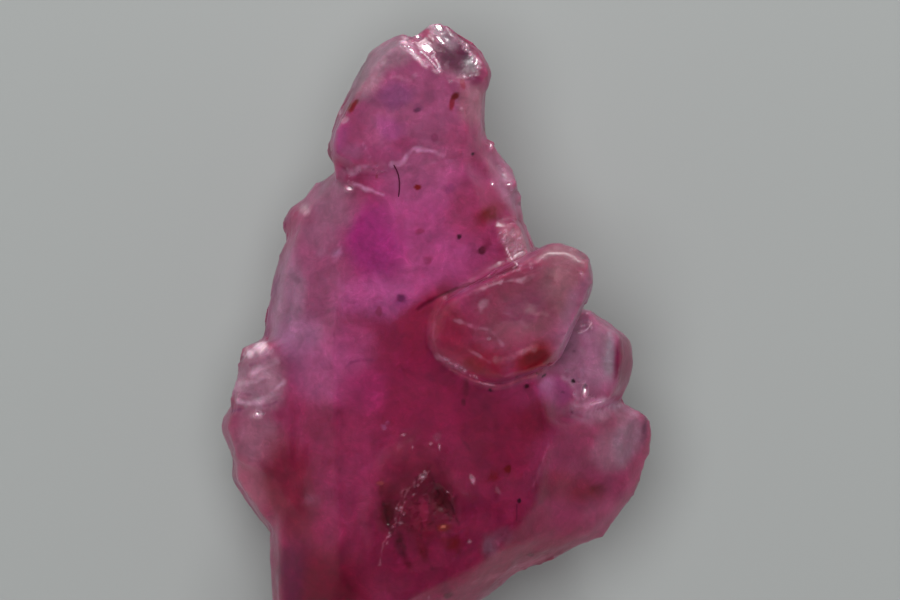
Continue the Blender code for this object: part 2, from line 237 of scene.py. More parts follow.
def buildSetting():
    scene = bpy.context.scene
    scene.view_settings.view_transform = "Standard"
    mesh = bpy.data.meshes.new("card")
    shape = bmesh.new()
    bmesh.ops.create_grid(shape, x_segments=1, y_segments=1, size=setting["cardSize"] / 2 * mm)
    shape.to_mesh(mesh)
    shape.free()
    mesh.materials.append(mattMaterial("matt card", setting["card"], setting["cardRoughness"]))
    card = placed("card", mesh)
    card.location.z = -setting["cardDepth"] * mm
    world = bpy.data.worlds.new("studio")
    world.use_nodes = True
    tree = world.node_tree
    direction = addNode(tree, "TexCoord").outputs["Generated"]
    height = addNode(tree, "SeparateXYZ", Vector=direction).outputs["Z"]
    low, high = setting["ceilingFrom"]
    light = addRange(tree, height, low, high, setting["walls"], setting["ceiling"])
    isMirrored = addNode(tree, "LightPath").outputs["Is Glossy Ray"]
    mirrored = addRange(tree, isMirrored, 0.0, 1.0, 1.0, setting["mirrored"])
    strength = addNode(tree, "Math", {"operation": "MULTIPLY"}, _0=light, _1=mirrored)
    tree.nodes["Background"].inputs["Color"].default_value = (1, 1, 1, 1)
    tree.links.new(strength.outputs["Value"], tree.nodes["Background"].inputs["Strength"])
    scene.world = world
    for name, values in setting["lamps"].items():
        addLamp(name, *values)


# Where each random pattern starts
seeds = {
    "swell": 1, "dimple": 5, "pebble": 9, "crownWander": 3, "crownWear": 8, "glitter": 11,
    "striae": 31, "striaePatches": 33, "chipsWander": 35, "chips": 37,
    "strokes": 40, "strokeGaps": 60, "zones": 70, "stains": 80, "stainPatches": 90,
}

# The crystal's surface
skin = {
    "voxel": 0.26,               # grid that the flat-faced solid is rebuilt on
    "softening": 6,              # rounds of smoothing of grown, etched faces
    "crispRounds": 2,            # and of the crystals whose edges are still sharp
    "swell": (2.6, 0.08),        # size and height of the slow swell of grown faces
    "dimple": (0.9, 0.022),
    "pebble": (0.30, 0.009),
    "striae": (0.6, 0.010),      # spacing and height of the growth lines around the flanks
    "chips": (1.7, 0.09),        # size and height of the chipped facets of the flanks
    "below": (0.6, 1.4),         # strokes and spots fade out this far below the highest ground above them
    "crisp": {                   # middle, half sizes and turn of the sharp-edged parts, seen from above
        "head": (-1.2, 12.9, 5.6, 5.6, 0),
        "slab": (3.9, 2.3, 5.6, 4.6, 30),
        "roughPatch": (3.9, 5.8, 1.7, 2.2, 0),
    },
    "settled": {                 # here the ground is evened out: zone and rounds
        "ledges": ((-8.2, -0.8, 1.9, 2.3, 0), 40),
        "lowerLeft": ((-8.3, -4.9, 2.1, 2.5, 20), 40),
        "slab": ((4.5, 2.8, 3.0, 1.8, 35), 35),
        "hollows": ((-0.9, -7.9, 2.3, 2.9, 0), 8),
        "domeLeft": ((-3.2, -6.2, 1.2, 2.4, 0), 24),
        "domeBrow": ((-0.9, -4.1, 1.9, 1.1, 0), 24),
        "slabCrest": ((6.4, 5.3, 2.0, 0.8, -8), 18),
    },
    "fine": {                    # here the mesh is split once more
        "crown": (0.5, 15.1, 3.0, 2.6, -30),
        "roughPatch": (3.9, 5.8, 1.5, 2.0, 20),
        "hollows": (-0.8, -7.2, 2.9, 4.0, 0),
        "slabTop": (3.6, 2.2, 4.6, 3.2, 30),
        "ledges": (-8.8, -0.6, 2.0, 2.8, 0),
        "head": (-1.5, 12.3, 3.8, 3.4, 0),
    },
    "finest": {                  # and here twice
        "crownLines": (-0.3, 15.2, 1.7, 1.3, -45),
        "crownArc": (1.7, 15.3, 1.1, 0.5, -52),
        "roughPatch": (3.9, 5.8, 1.2, 1.6, 20),
    },
    "fineAbove": 6.0,            # only the front of the cluster is split
    "besideStrokes": (0.14, 0.04),   # how far beside a stroke it is split once, and twice
    "lastRounds": 2,             # of smoothing of the split mesh
    "glint": (0.65, 0.25),       # flat share of a glint's width, and how deep it cuts at most
    "column": 0.25,              # width of the columns in which the highest ground is looked for
    "largeSpot": 0.3,            # half size from which a stain is large: patchy, and not split finer
}

# Strokes on the surface, seen from above: chipped edges, seams and inner cracks that show as pale threads,
# and some painted highlights, light and shade, marked below.
# Each has its half width, height, colour, strength, how broken it is, and its line.
strokes = {
    "underHead": (0.19, 0.025, "#C08CB0", 0.65, 0.6, [(-2.18, 9.78), (-1.87, 9.76), (-1.66, 9.92),
        (-1.45, 10.3), (-1.1, 10.48), (-0.75, 10.55), (-0.4, 10.48), (-0.05, 10.37), (0.35, 10.18)]),
    "underHeadLow": (0.12, 0.015, "#A8648E", 0.3, 0.8, [(-1.5, 9.7), (-1.1, 9.74), (-0.7, 9.88), (0.0, 9.82),
        (0.5, 9.9), (1.0, 9.95)]),
    "underHeadLeft": (0.34, 0.015, "#A87C9A", 0.45, 0.7, [(-4.9, 9.4), (-4.5, 9.3), (-4.1, 9.35),
        (-3.6, 9.55), (-3.1, 9.6), (-2.64, 9.74)]),
    "neckStep": (0.16, 0.03, "#C590B4", 0.6, 0.55, [(-4.1, 8.8), (-3.9, 8.76), (-3.6, 8.56), (-3.2, 8.46),
        (-2.64, 8.24)]),
    "headThreadC": (0.12, 0.0, "#B08298", 0.3, 0.8, [(-3.3, 14.1), (-2.7, 13.95), (-2.0, 14.15),
        (-1.3, 13.95), (-1.0, 14.25)]),
    "headThreadD": (0.12, 0.0, "#B48A9C", 0.35, 0.8, [(-2.9, 14.6), (-2.4, 14.95), (-1.9, 15.1)]),
    "headThreadE": (0.1, 0.0, "#B078A0", 0.35, 0.7, [(-3.62, 10.8), (-3.45, 10.5), (-3.3, 10.15)]),
    # crownCrease, crownLineA to C, crownArc and crownTip are painted highlights: pale lines and bands
    # standing in for the key lamp's glints and sheen on the crown; crownGap is painted shade in the groove
    # beside them
    "crownCrease": (0.16, 0.03, "#D8C0CA", 0.7, 0.9, [(-1.62, 16.0), (-1.3, 15.5), (-0.95, 15.1),
        (-0.55, 14.62), (-0.1, 14.4), (0.22, 14.25)]),
    "crownLineA": (0.045, 0.05, "#F1E6EC", 0.95, 0.1, [(-0.72, 15.4), (-0.25, 14.9), (0.2, 14.36)]),
    "crownLineB": (0.045, 0.04, "#F1E6EC", 0.8, 0.1, [(-0.36, 15.78), (-0.2, 15.5), (-0.03, 15.28)]),
    "crownLineC": (0.06, 0.04, "#EBDDE4", 0.8, 0.5, [(-0.1, 15.15), (0.05, 14.9), (0.2, 14.6)]),
    "crownGap": (0.05, -0.05, "#6E2E4E", 0.8, 0.0, [(-0.64, 15.28), (-0.2, 14.8), (0.02, 14.52)]),
    "crownFoot": (0.1, 0.02, "#B48A9A", 0.4, 0.8, [(0.3, 14.2), (0.72, 13.9), (1.07, 14.08), (1.4, 14.12),
        (1.9, 14.05)]),
    "crownArc": (0.24, 0.02, "#C4B6BC", 0.5, 0.7, [(1.15, 16.0), (1.45, 15.7), (1.75, 15.3), (2.05, 14.95),
        (2.22, 14.6)]),
    "crownTip": (0.3, 0.0, "#BCA8B2", 0.45, 0.6, [(-0.3, 16.7), (0.2, 16.4), (0.6, 15.9)]),
    # patchWire is a painted highlight: a near-white line standing in for the sparkle of the rough patch's
    # small facets
    "patchWire": (0.055, 0.06, "#F0D6DE", 0.95, 0.1, [(3.52, 5.56), (3.6, 5.36), (3.72, 5.12), (3.84, 4.96),
        (4.0, 4.84), (4.04, 4.72), (3.84, 4.6)]),
    # slabGroove is painted shade: a dark line in the groove where the slab meets the body
    "slabGroove": (0.15, -0.03, "#560620", 0.85, 0.15, [(-0.9, 2.55), (-0.3, 2.95), (0.3, 3.25), (1.0, 3.55),
        (2.2, 3.97), (3.16, 4.3), (3.96, 4.65)]),
    "slabLeftRim": (0.1, 0.0, "#9A4C66", 0.4, 0.6, [(0.45, 3.05), (-0.08, 2.15), (-0.14, 1.19), (0.05, 0.4),
        (0.45, -0.2)]),
    "slabUpper": (0.12, 0.01, "#A87088", 0.4, 0.9, [(0.35, 3.05), (0.44, 3.1), (1.08, 3.4), (1.85, 3.62),
        (2.2, 3.8)]),
    "slabStep": (0.15, 0.02, "#B48C9C", 0.6, 0.75, [(2.0, 3.45), (2.68, 3.7), (3.2, 3.9), (3.8, 3.98),
        (4.3, 3.94), (4.8, 4.2)]),
    "slabStepFar": (0.1, 0.02, "#B08696", 0.5, 0.8, [(3.81, 4.38), (4.58, 4.7), (5.02, 4.89), (5.4, 5.21)]),
    "slabStepTop": (0.09, 0.015, "#A87E90", 0.4, 0.8, [(4.2, 4.32), (4.7, 4.38), (5.3, 4.62)]),
    "slabBend": (0.22, 0.0, "#94586F", 0.5, 0.7, [(1.95, 3.4), (1.95, 2.9), (2.1, 2.3)]),
    "slabVeil": (0.15, 0.0, "#A8728A", 0.55, 0.7, [(1.0, 2.02), (1.5, 1.8), (1.96, 1.64), (2.2, 1.62),
        (2.66, 1.51), (3.05, 1.13), (3.3, 0.81)]),
    "slabVeilLow": (0.12, 0.0, "#9C6078", 0.5, 0.6, [(1.64, 0.49), (2.15, 0.23), (2.66, -0.08)]),
    "slabVeilWide": (0.26, 0.0, "#A4707F", 0.5, 0.6, [(3.05, 0.04), (3.94, 0.17), (4.4, 0.45),
        (4.83, 0.62)]),
    "slabVeilA": (0.16, 0.0, "#A06C84", 0.35, 0.8, [(3.4, 2.4), (4.0, 2.1), (4.5, 1.7)]),
    "slabVeilB": (0.2, 0.0, "#A5737F", 0.4, 0.8, [(4.4, 3.1), (4.6, 2.6), (5.0, 2.3), (5.5, 2.3)]),
    "slabVeilC": (0.2, 0.0, "#A8788C", 0.45, 0.8, [(2.2, 2.4), (2.3, 2.8), (2.7, 3.2)]),
    "slabVeilD": (0.18, 0.0, "#A8747E", 0.35, 0.8, [(5.5, 4.5), (5.9, 4.2), (6.2, 3.7)]),
    "slabCorner": (0.2, 0.015, "#A4708A", 0.45, 0.6, [(0.15, 0.2), (0.48, 0.04), (0.8, -0.2), (1.05, -0.3),
        (1.35, -0.5)]),
    "slabRim": (0.08, 0.02, "#A85468", 0.55, 0.7, [(0.7, -0.45), (1.4, -0.78), (2.1, -1.1), (2.6, -1.22),
        (3.1, -1.3), (3.6, -1.2), (4.1, -0.98), (4.7, -0.85), (5.3, -0.62), (5.9, -0.2)]),
    "domeSeam": (0.07, 0.015, "#9C6074", 0.45, 0.95, [(-0.1, -5.3), (-0.5, -5.67), (-0.83, -5.92),
        (-1.17, -6.17), (-1.38, -6.46), (-1.58, -6.83), (-1.67, -7.25), (-1.75, -7.7), (-1.85, -8.1),
        (-2.1, -8.5), (-2.4, -8.75), (-2.6, -9.1), (-2.72, -9.6), (-2.8, -10.2)]),
    "domeSeamTwo": (0.05, 0.01, "#965A6C", 0.4, 0.9, [(-1.3, -6.4), (-1.7, -6.5), (-1.75, -6.95),
        (-2.0, -7.4)]),
    "domeThreads": (0.2, 0.0, "#7C3048", 0.3, 0.8, [(0.2, -5.3), (0.8, -5.9), (1.3, -6.6), (1.9, -6.8)]),
    "streakA": (0.13, -0.02, "#3C0E1A", 0.65, 0.5, [(-0.35, -5.5), (0.0, -6.3), (0.5, -7.4), (0.7, -8.0)]),
    "streakB": (0.12, -0.02, "#450F1E", 0.6, 0.5, [(0.1, -6.1), (0.7, -7.1), (1.15, -8.2)]),
    "streakC": (0.1, 0.0, "#54122A", 0.5, 0.6, [(-0.5, -6.8), (-0.2, -7.8), (0.2, -8.9)]),
    "streakD": (0.13, 0.0, "#4C0E22", 0.55, 0.5, [(-1.0, -8.3), (-0.6, -9.2), (-0.2, -10.4)]),
    "streakE": (0.14, -0.02, "#3A0E16", 0.6, 0.5, [(-2.75, -6.6), (-2.5, -7.6), (-2.2, -8.7)]),
    "rightRidge": (0.12, 0.02, "#964E6E", 0.4, 0.6, [(5.6, -4.2), (5.35, -4.9), (5.15, -5.5), (4.85, -6.3)]),
    "footRim": (0.22, 0.0, "#9C4362", 0.5, 0.4, [(1.9, -11.15), (2.9, -10.85), (3.8, -10.5), (4.6, -10.2),
        (5.4, -9.9)]),
    # rightChip is a chipped edge drawn as a painted highlight: a pale line standing in for its sparks
    "rightChip": (0.055, 0.03, "#E4C4D2", 0.7, 0.6, [(7.78, 1.85), (7.62, 1.62), (7.44, 1.46),
        (7.16, 1.36)]),
    "rightBandEdge": (0.05, 0.0, "#A07C90", 0.35, 0.5, [(9.1, 1.25), (9.16, 0.4), (9.14, -0.5),
        (9.02, -1.3)]),
    "rightVeilA": (0.12, 0.0, "#A890A0", 0.4, 0.7, [(8.66, 1.3), (8.62, 0.4), (8.7, -0.5)]),
    "rightVeilB": (0.2, 0.0, "#B884A0", 0.45, 0.7, [(6.4, -0.9), (7.0, -1.4), (7.1, -2.0)]),
    "rightVeilC": (0.22, 0.0, "#A87890", 0.35, 0.8, [(7.0, 0.9), (7.5, 0.2), (7.6, -0.6)]),
    # notchPale is painted light: a pale haze laid into the notch below the right crystal, where the lamps
    # leave shade
    "notchPale": (0.3, 0.0, "#B488A0", 0.55, 0.4, [(6.9, -2.3), (7.7, -2.2), (8.4, -2.0), (9.2, -2.3),
        (10.0, -2.6)]),
    "centreThread": (0.1, 0.0, "#6A1C4C", 0.5, 0.5, [(-4.5, -0.35), (-4.2, -0.1), (-3.7, 0.02),
        (-3.1, 0.0)]),
    "hairCrack": (0.05, 0.0, "#3E0A20", 0.7, 0.2, [(4.03, -7.2), (4.02, -7.6), (4.02, -8.0)]),
    "leftEdge": (0.22, 0.0, "#74305C", 0.7, 0.2, [(-7.9, 4.2), (-8.1, 3.4), (-8.36, 2.4), (-8.5, 1.3)]),
    # The ledge strokes are painted light and shade: ledgeA to D pale on the crests, ledgeGapA to C and
    # leftPocket dark in the gaps and the pocket between them
    "ledgeA": (0.24, 0.0, "#B08CA0", 0.4, 0.6, [(-9.6, 0.15), (-8.9, 0.2), (-8.3, 0.45)]),
    "ledgeB": (0.26, 0.01, "#C8A0B6", 0.65, 0.5, [(-9.2, -0.7), (-8.7, -0.45), (-8.3, -0.25), (-8.0, -0.1)]),
    "ledgeC": (0.22, 0.01, "#BC96AA", 0.5, 0.6, [(-10.0, -1.25), (-9.5, -1.15), (-9.0, -1.05),
        (-8.4, -0.75)]),
    "ledgeD": (0.22, 0.01, "#C49CB2", 0.6, 0.5, [(-9.9, -2.1), (-9.0, -2.15), (-8.5, -1.9), (-8.1, -1.55),
        (-7.6, -1.1)]),
    "ledgeGapA": (0.13, -0.01, "#7A3C5E", 0.6, 0.2, [(-10.1, -1.6), (-9.7, -1.7), (-9.3, -1.75)]),
    "ledgeGapB": (0.13, -0.01, "#7A3058", 0.65, 0.2, [(-8.6, -2.3), (-8.3, -2.25), (-8.0, -2.1)]),
    "ledgeGapC": (0.12, 0.0, "#8A5470", 0.5, 0.4, [(-9.3, -0.25), (-8.8, -0.1), (-8.3, 0.1)]),
    "leftPocket": (0.15, -0.01, "#6C2A56", 0.75, 0.1, [(-10.6, -2.65), (-10.2, -2.55), (-9.8, -2.5)]),
}

crownLines = {                   # growth lines that run down across the crown
    "zone": (0.4, 15.2, 2.7, 1.9, -30),
    "run": (0.62, -0.78),
    "spacing": 0.24,             # mm
    "height": 0.015,
    "gentle": 0.65,              # share of each line that is its gentle side
}

hackly = {                       # broken ground: zone, face size, height
    "roughPatch": ((3.95, 5.85, 0.75, 1.1, 20), 0.26, 0.07),
    "crownTop": ((-0.9, 15.7, 1.2, 0.7, -40), 0.30, 0.035),
    "neck": ((-2.6, 9.4, 3.2, 0.9, 0), 0.5, 0.03),
    "hollows": ((-0.9, -7.4, 2.2, 3.2, 0), 0.40, 0.05),
    "slabEnd": ((7.3, 4.3, 1.1, 1.3, 0), 0.5, 0.06),
    "slabCorner": ((0.8, -0.2, 1.0, 0.5, -35), 0.25, 0.03),
    "rightNotch": ((7.6, -2.2, 1.6, 0.8, 0), 0.5, 0.05),
    "shoulder": ((3.3, 9.2, 0.8, 2.2, 25), 0.4, 0.04),
}

# Small bright faces, which throw the key lamp's light straight up: middle, half sizes and turn
glints = {
    "tip": [(0.15, 16.6, 0.36, 0.22, -40), (0.22, 15.98, 0.5, 0.12, -42)],
    "crown": [(-0.42, 15.55, 0.36, 0.22, -38), (-0.9, 16.15, 0.2, 0.15, 0), (-1.2, 15.45, 0.22, 0.12, -30),
        (-0.58, 14.7, 0.17, 0.1, -45), (0.2, 14.42, 0.16, 0.09, -60), (0.03, 14.95, 0.14, 0.05, -60),
        (0.72, 13.9, 0.1, 0.08, 0), (2.05, 14.95, 0.17, 0.13, -60)],
    "roughPatch": [(3.36, 5.94, 0.09, 0.12, 0), (3.42, 6.2, 0.06, 0.17, -15), (3.48, 6.46, 0.09, 0.07, 0),
        (3.88, 6.24, 0.1, 0.09, 0), (4.0, 5.48, 0.06, 0.06, 0), (4.17, 5.53, 0.07, 0.06, 0),
        (4.32, 5.24, 0.1, 0.09, 0), (4.48, 5.38, 0.07, 0.06, 0)],
    "neck": [(-4.34, 8.57, 0.22, 0.18, 0)],
    "slab": [(2.62, -1.2, 0.3, 0.06, -8), (0.48, 0.04, 0.08, 0.08, 0), (1.04, -0.24, 0.09, 0.07, 0),
        (1.26, -0.36, 0.06, 0.05, 0), (2.64, 1.08, 0.07, 0.08, 0), (0.44, 3.12, 0.06, 0.06, 0),
        (3.2, 3.86, 0.12, 0.09, 20), (7.24, 4.32, 0.15, 0.09, -40), (6.56, 4.48, 0.06, 0.06, 0),
        (6.72, 5.52, 0.06, 0.05, 0)],
    "rightSparks": [(7.33, 1.74, 0.12, 0.12, 0), (7.66, 1.88, 0.13, 0.08, 45), (7.22, 1.42, 0.16, 0.06, 10),
        (7.74, 1.66, 0.06, 0.1, 20), (7.5, 1.52, 0.06, 0.06, 0)],
    "rightCrystal": [(7.42, -1.56, 0.17, 0.42, -5), (6.92, -1.72, 0.08, 0.12, 0),
        (8.04, -2.12, 0.36, 0.09, 12)],
    "shoulder": [(2.74, 10.72, 0.1, 0.18, 0), (3.64, 8.78, 0.16, 0.14, 0), (2.82, 8.8, 0.09, 0.12, 0)],
    "dome": [(-1.63, -3.72, 0.12, 0.06, 20), (-0.25, -4.15, 0.07, 0.06, 0), (0.17, -4.3, 0.05, 0.14, 10),
        (-0.67, -5.8, 0.15, 0.13, 0), (-1.17, -4.33, 0.05, 0.05, 0)],
    "seam": [(-1.77, -8.12, 0.08, 0.07, 0), (-1.96, -7.38, 0.06, 0.06, 0), (-1.58, -7.65, 0.08, 0.04, 50)],
    "domeRight": [(1.82, -5.95, 0.06, 0.22, 20), (0.58, -6.55, 0.07, 0.05, 0),
        (1.67, -9.05, 0.08, 0.08, 0)],
    "leftLedges": [(-8.95, -2.72, 0.2, 0.15, 25), (-8.7, -2.7, 0.16, 0.07, 10)],
}

# Bands of tiny bright facets: their two ends, half width, how many, and the largest half size
glitter = {
    "crease": ((-1.65, 15.95), (-0.85, 15.2), 0.24, 26, 0.1),
    "creaseLow": ((-0.95, 15.2), (-0.4, 14.6), 0.12, 12, 0.1),
    "lineSide": ((-0.05, 15.25), (0.25, 14.4), 0.08, 9, 0.08),
    "arc": ((1.2, 15.95), (2.25, 14.6), 0.17, 30, 0.1),
    "tip": ((-0.35, 16.55), (0.6, 16.1), 0.22, 14, 0.09),
    "crownFoot": ((0.9, 14.1), (2.1, 14.15), 0.14, 8, 0.06),
    "roughPatch": ((3.35, 6.55), (4.4, 5.25), 0.36, 24, 0.08),
    "seam": ((-0.4, -5.5), (-1.65, -7.2), 0.12, 9, 0.06),
    "seamLow": ((-1.65, -7.2), (-2.6, -9.2), 0.14, 10, 0.06),
    "slabLeft": ((0.3, 0.15), (2.4, -1.2), 0.12, 9, 0.06),
    "slabTop": ((2.3, 3.7), (5.4, 5.05), 0.16, 14, 0.06),
    "rightFace": ((6.3, -0.7), (8.3, -2.1), 0.3, 10, 0.07),
    "neck": ((-4.4, 8.95), (-2.4, 9.7), 0.25, 8, 0.06),
    "shoulder": ((2.8, 10.8), (3.8, 8.5), 0.14, 8, 0.08),
}
smallestGlitter = 0.045


def brightFaces():
    # the glints, then the facets of each band of glitter
    faces = [face for group in glints.values() for face in group]
    chance = random.Random(seeds["glitter"])
    for start, end, halfWidth, count, largestHalf in glitter.values():
        run = (end[0] - start[0], end[1] - start[1])
        length = math.hypot(*run)
        for _ in range(count):
            along = chance.random()
            aside = chance.uniform(-halfWidth, halfWidth) / length
            half = chance.uniform(smallestGlitter, largestHalf)
            faces.append((
                start[0] + run[0] * along - run[1] * aside, start[1] + run[1] * along + run[0] * aside,
                half, half * chance.uniform(0.6, 1.0), chance.uniform(0, 180)))
    return faces


sparks = brightFaces()


def readEach(items, name, width, kind=np.float32):
    values = np.empty(len(items) * width, kind)
    items.foreach_get(name, values)
    return values.reshape(-1, width)


def readPoints(mesh):
    return readEach(mesh.vertices, "co", 3).astype(np.float64) / mm


def readNormals(mesh):
    return readEach(mesh.vertices, "normal", 3).astype(np.float64)


def readEdges(mesh):
    return readEach(mesh.edges, "vertices", 2, np.int32)


def writePoints(mesh, points):
    mesh.vertices.foreach_set("co", (points * mm).astype(np.float32).ravel())
    mesh.update()


def rebuiltOnGrid(source, name, voxel):
    work = placed(name, source.data.copy())
    grid = work.modifiers.new("grid", "REMESH")
    grid.mode = "VOXEL"
    grid.voxel_size = voxel * mm
    dressed = bpy.data.meshes.new_from_object(work.evaluated_get(bpy.context.evaluated_depsgraph_get()))
    work.modifiers.clear()
    work.data = dressed
    work.data.name = name
    return work


def smoothed(points, edges, rounds, strength):
    # each point moves towards the mean of its neighbours; strength may differ from point to point
    count = np.bincount(edges.ravel(), minlength=len(points))[:, None]
    for _ in range(rounds):
        total = np.zeros_like(points)
        for axis in range(points.shape[1]):
            total[:, axis] = np.bincount(edges[:, 0], points[edges[:, 1], axis], len(points))
            total[:, axis] += np.bincount(edges[:, 1], points[edges[:, 0], axis], len(points))
        points = points + strength * (total / count - points)
    return points


def wornDown(points, edges, rounds, strength):
    # smoothing that keeps the volume: each step in is followed by a slightly larger one out
    for _ in range(rounds):
        points = smoothed(points, edges, 1, 0.5 * strength)
        points = smoothed(points, edges, 1, -0.52 * strength)
    return points


def splitFine(mesh, zones, reach):
    # the faces of the front in the zones, on a glint or a small stain, or near a stroke, are split in four
    centres = readEach(mesh.polygons, "center", 3).astype(np.float64) / mm
    wanted = largest(centres, zones) > 0
    for halfWidth, *_, line in strokes.values():
        near = nearLine(centres, line, halfWidth + reach)
        wanted[near] |= awayFromLine(centres[near], line) < halfWidth + reach
    for x, y, half, otherHalf, *_ in (*sparks, *stains.values()):
        if min(half, otherHalf) < skin["largeSpot"]:
            wanted |= np.hypot(centres[:, 0] - x, centres[:, 1] - y) < max(half, otherHalf) + reach
    wanted &= centres[:, 2] > skin["fineAbove"]
    shape = bmesh.new()
    shape.from_mesh(mesh)
    shape.faces.ensure_lookup_table()
    edges = list({edge for index in np.flatnonzero(wanted) for edge in shape.faces[index].edges})
    bmesh.ops.subdivide_edges(shape, edges=edges, cuts=1, use_grid_fill=True)
    bmesh.ops.triangulate(shape, faces=[face for face in shape.faces if len(face.verts) > 4])
    shape.to_mesh(mesh)
    shape.free()


def strokeProfiles(points):
    # for each stroke: the points near it and its share at each, from 0 beside it to 1 on its crest
    for number, (halfWidth, height, colour, strength, broken, line) in enumerate(strokes.values()):
        seed, gapSeed = seeds["strokes"] + number, seeds["strokeGaps"] + number
        near = nearLine(points, line, 2 * halfWidth)
        places = points[near]
        wander = 0.45 * noise(places, 0.28, seed) + 0.35 * noise(places, 0.7, seed + 1)
        share = 1 - smoothStep(0.05, 1.0, awayFromLine(places, line) / halfWidth + wander * (0.3 + broken))
        fine = noise(places, 0.06 + 1.2 * halfWidth, gapSeed)
        gaps = smoothStep(-0.35, 0.45, fine + 0.5 * noise(places, 0.6, gapSeed + 1))
        yield near, share * (1 - broken * (1 - gaps)), height, colour, strength


def uncovered(points):
    # 1 on the ground that is seen from above, falling to 0 down the walls below it
    column = np.floor(points[:, :2] / skin["column"]).astype(np.int64)
    column -= column.min(axis=0)
    number = column[:, 0] * (column[:, 1].max() + 1) + column[:, 1]
    top = np.zeros(number.max() + 1)
    np.maximum.at(top, number, points[:, 2])
    return 1 - smoothStep(*skin["below"], top[number] - points[:, 2])


def flankRelief(points, normals):
    # growth lines and chipped facets of the steep sides
    flank = 1 - smoothStep(0.1, 0.45, np.abs(normals[:, 2]))
    spacing, height = skin["striae"]
    rings = points[:, 2] / spacing + 0.7 * noise(points, 1.8, seeds["striae"])
    patchy = smoothStep(-0.4, 0.5, noise(points, 2.4, seeds["striaePatches"]))
    lines = height * np.abs(2 * (rings - np.floor(rings)) - 1) * patchy
    size, height = skin["chips"]
    shifted = points + 0.2 * noise(points, 0.5, seeds["chipsWander"])[:, None]
    return (lines + height * brokenFacets(shifted, size, seeds["chips"])) * flank


def crownRelief(points):
    # growth lines of the crown, each with a long gentle side and a short steep one
    runX, runY = crownLines["run"]
    wander = 0.6 * noise(points, 1.2, seeds["crownWander"])
    across = (points[:, 1] * runX - points[:, 0] * runY) / crownLines["spacing"] + wander
    saw = across - np.floor(across)
    gentle = crownLines["gentle"]
    saw = np.where(saw < gentle, saw / gentle, (1 - saw) / (1 - gentle))
    worn = 0.55 + 0.45 * noise(points, 0.7, seeds["crownWear"])
    return crownLines["height"] * saw * worn * blob(points, crownLines["zone"])


def growRelief(points, normals):
    # height in mm to add along the normal
    upward = smoothStep(-0.1, 0.3, normals[:, 2]) * uncovered(points)
    relief = flankRelief(points, normals) + crownRelief(points) * upward
    for name in ("swell", "dimple", "pebble"):
        size, height = skin[name]
        relief += height * layeredNoise(points, size, 2, seeds[name])
    for number, (zone, size, height) in enumerate(hackly.values()):
        share = blob(points, zone) * upward
        near = np.flatnonzero(share)
        relief[near] += height * share[near] * brokenFacets(points[near], size, 20 * number)
    for near, share, height, *_ in strokeProfiles(points):
        relief[near] += height * share * upward[near]
    return relief


def cutGlints(points, normals):
    # turns the ground of each glint halfway between the lamp and straight up; returns how polished it is
    polish = np.zeros(len(points))
    seen = (normals[:, 2] > 0.1) & (uncovered(points) > 0.5)
    core, deepest = skin["glint"]
    for zone in sparks:
        share = blob(points, zone, core) * seen
        inside = share > 0.5
        if not inside.any():
            continue
        middle = points[inside].mean(axis=0)
        facing = (Vector(setting["lamps"]["key"][0]) - Vector(middle)).normalized() + Vector((0, 0, 1))
        flat = middle[2] - (points[:, :2] - middle[:2]) @ np.array(facing[:2]) / facing[2]
        points[:, 2] += share * np.clip(flat - points[:, 2], -deepest, deepest)
        polish = np.maximum(polish, share)
    return polish


# How the depth of the crystal behind each point is felt out
probe = {
    "rays": [(0, 0), (0.5, 0.2), (-0.35, 0.45), (0.1, -0.55), (-0.5, -0.3)],     # their sideways tilts
    "under": 0.02,               # mm below the surface, where they start
    "longest": 12.0,
    "evened": (6, 0.6),          # rounds and strength of the smoothing of the depths
}


def treeOf(mesh, points):
    return BVHTree.FromPolygons([tuple(p) for p in points], [tuple(face.vertices) for face in mesh.polygons])


def thicknessOf(mesh, points, normals):
    # how much crystal lies behind each point, in mm: the mean of a few rays cast inwards
    tree = treeOf(mesh, points)
    depth = np.zeros(len(points))
    for index, (point, normal) in enumerate(zip(points, normals)):
        inward = -Vector(normal)
        side = inward.orthogonal().normalized()
        other = inward.cross(side)
        start = Vector(point) + inward * probe["under"]
        for across, up in probe["rays"]:
            hit = tree.ray_cast(start, (inward + side * across + other * up).normalized())
            depth[index] += min(hit[3] if hit[0] is not None else 0.0, probe["longest"])
    return smoothed((depth / len(probe["rays"]))[:, None], readEdges(mesh), *probe["evened"])[:, 0]


# How the colour is laid on
growth = {
    "edge": "#A96A86",           # where hardly any crystal lies behind
    "shallow": "#A04672",
    "deep": "#86244F",
    "thin": (0.3, 2.6),          # mm of crystal behind, over which edge turns into shallow
    "thick": (2.0, 7.5),         # and over which shallow turns into deep
    "wander": (1.6, 0.28),       # size and reach in mm of the waviness of the zones' edges
    "ragged": (0.45, 0.11),      # and of the stains' edges
    "patchy": (0.35, 0.4),       # large stains: size of their patches, and how much paler these are
    "zoneCore": 0.36,            # share of a spot's width that has its full colour
    "stainCores": (0.5, 0.25),   # of a small and of a large stain
    # share of a painted highlight halo's width that has its full colour
    "glowCore": 0.2,
    "glow": ("#C79DB0", 1.6, 0.4),           # painted highlight halo around a glint: colour, reach in its sizes, strength
    "rim": ("#783860", (0.05, 0.55), 0.4),   # painted shading of the steep sides, set by their slope alone: colour, their rise (0 upright, 1 level), strength
}
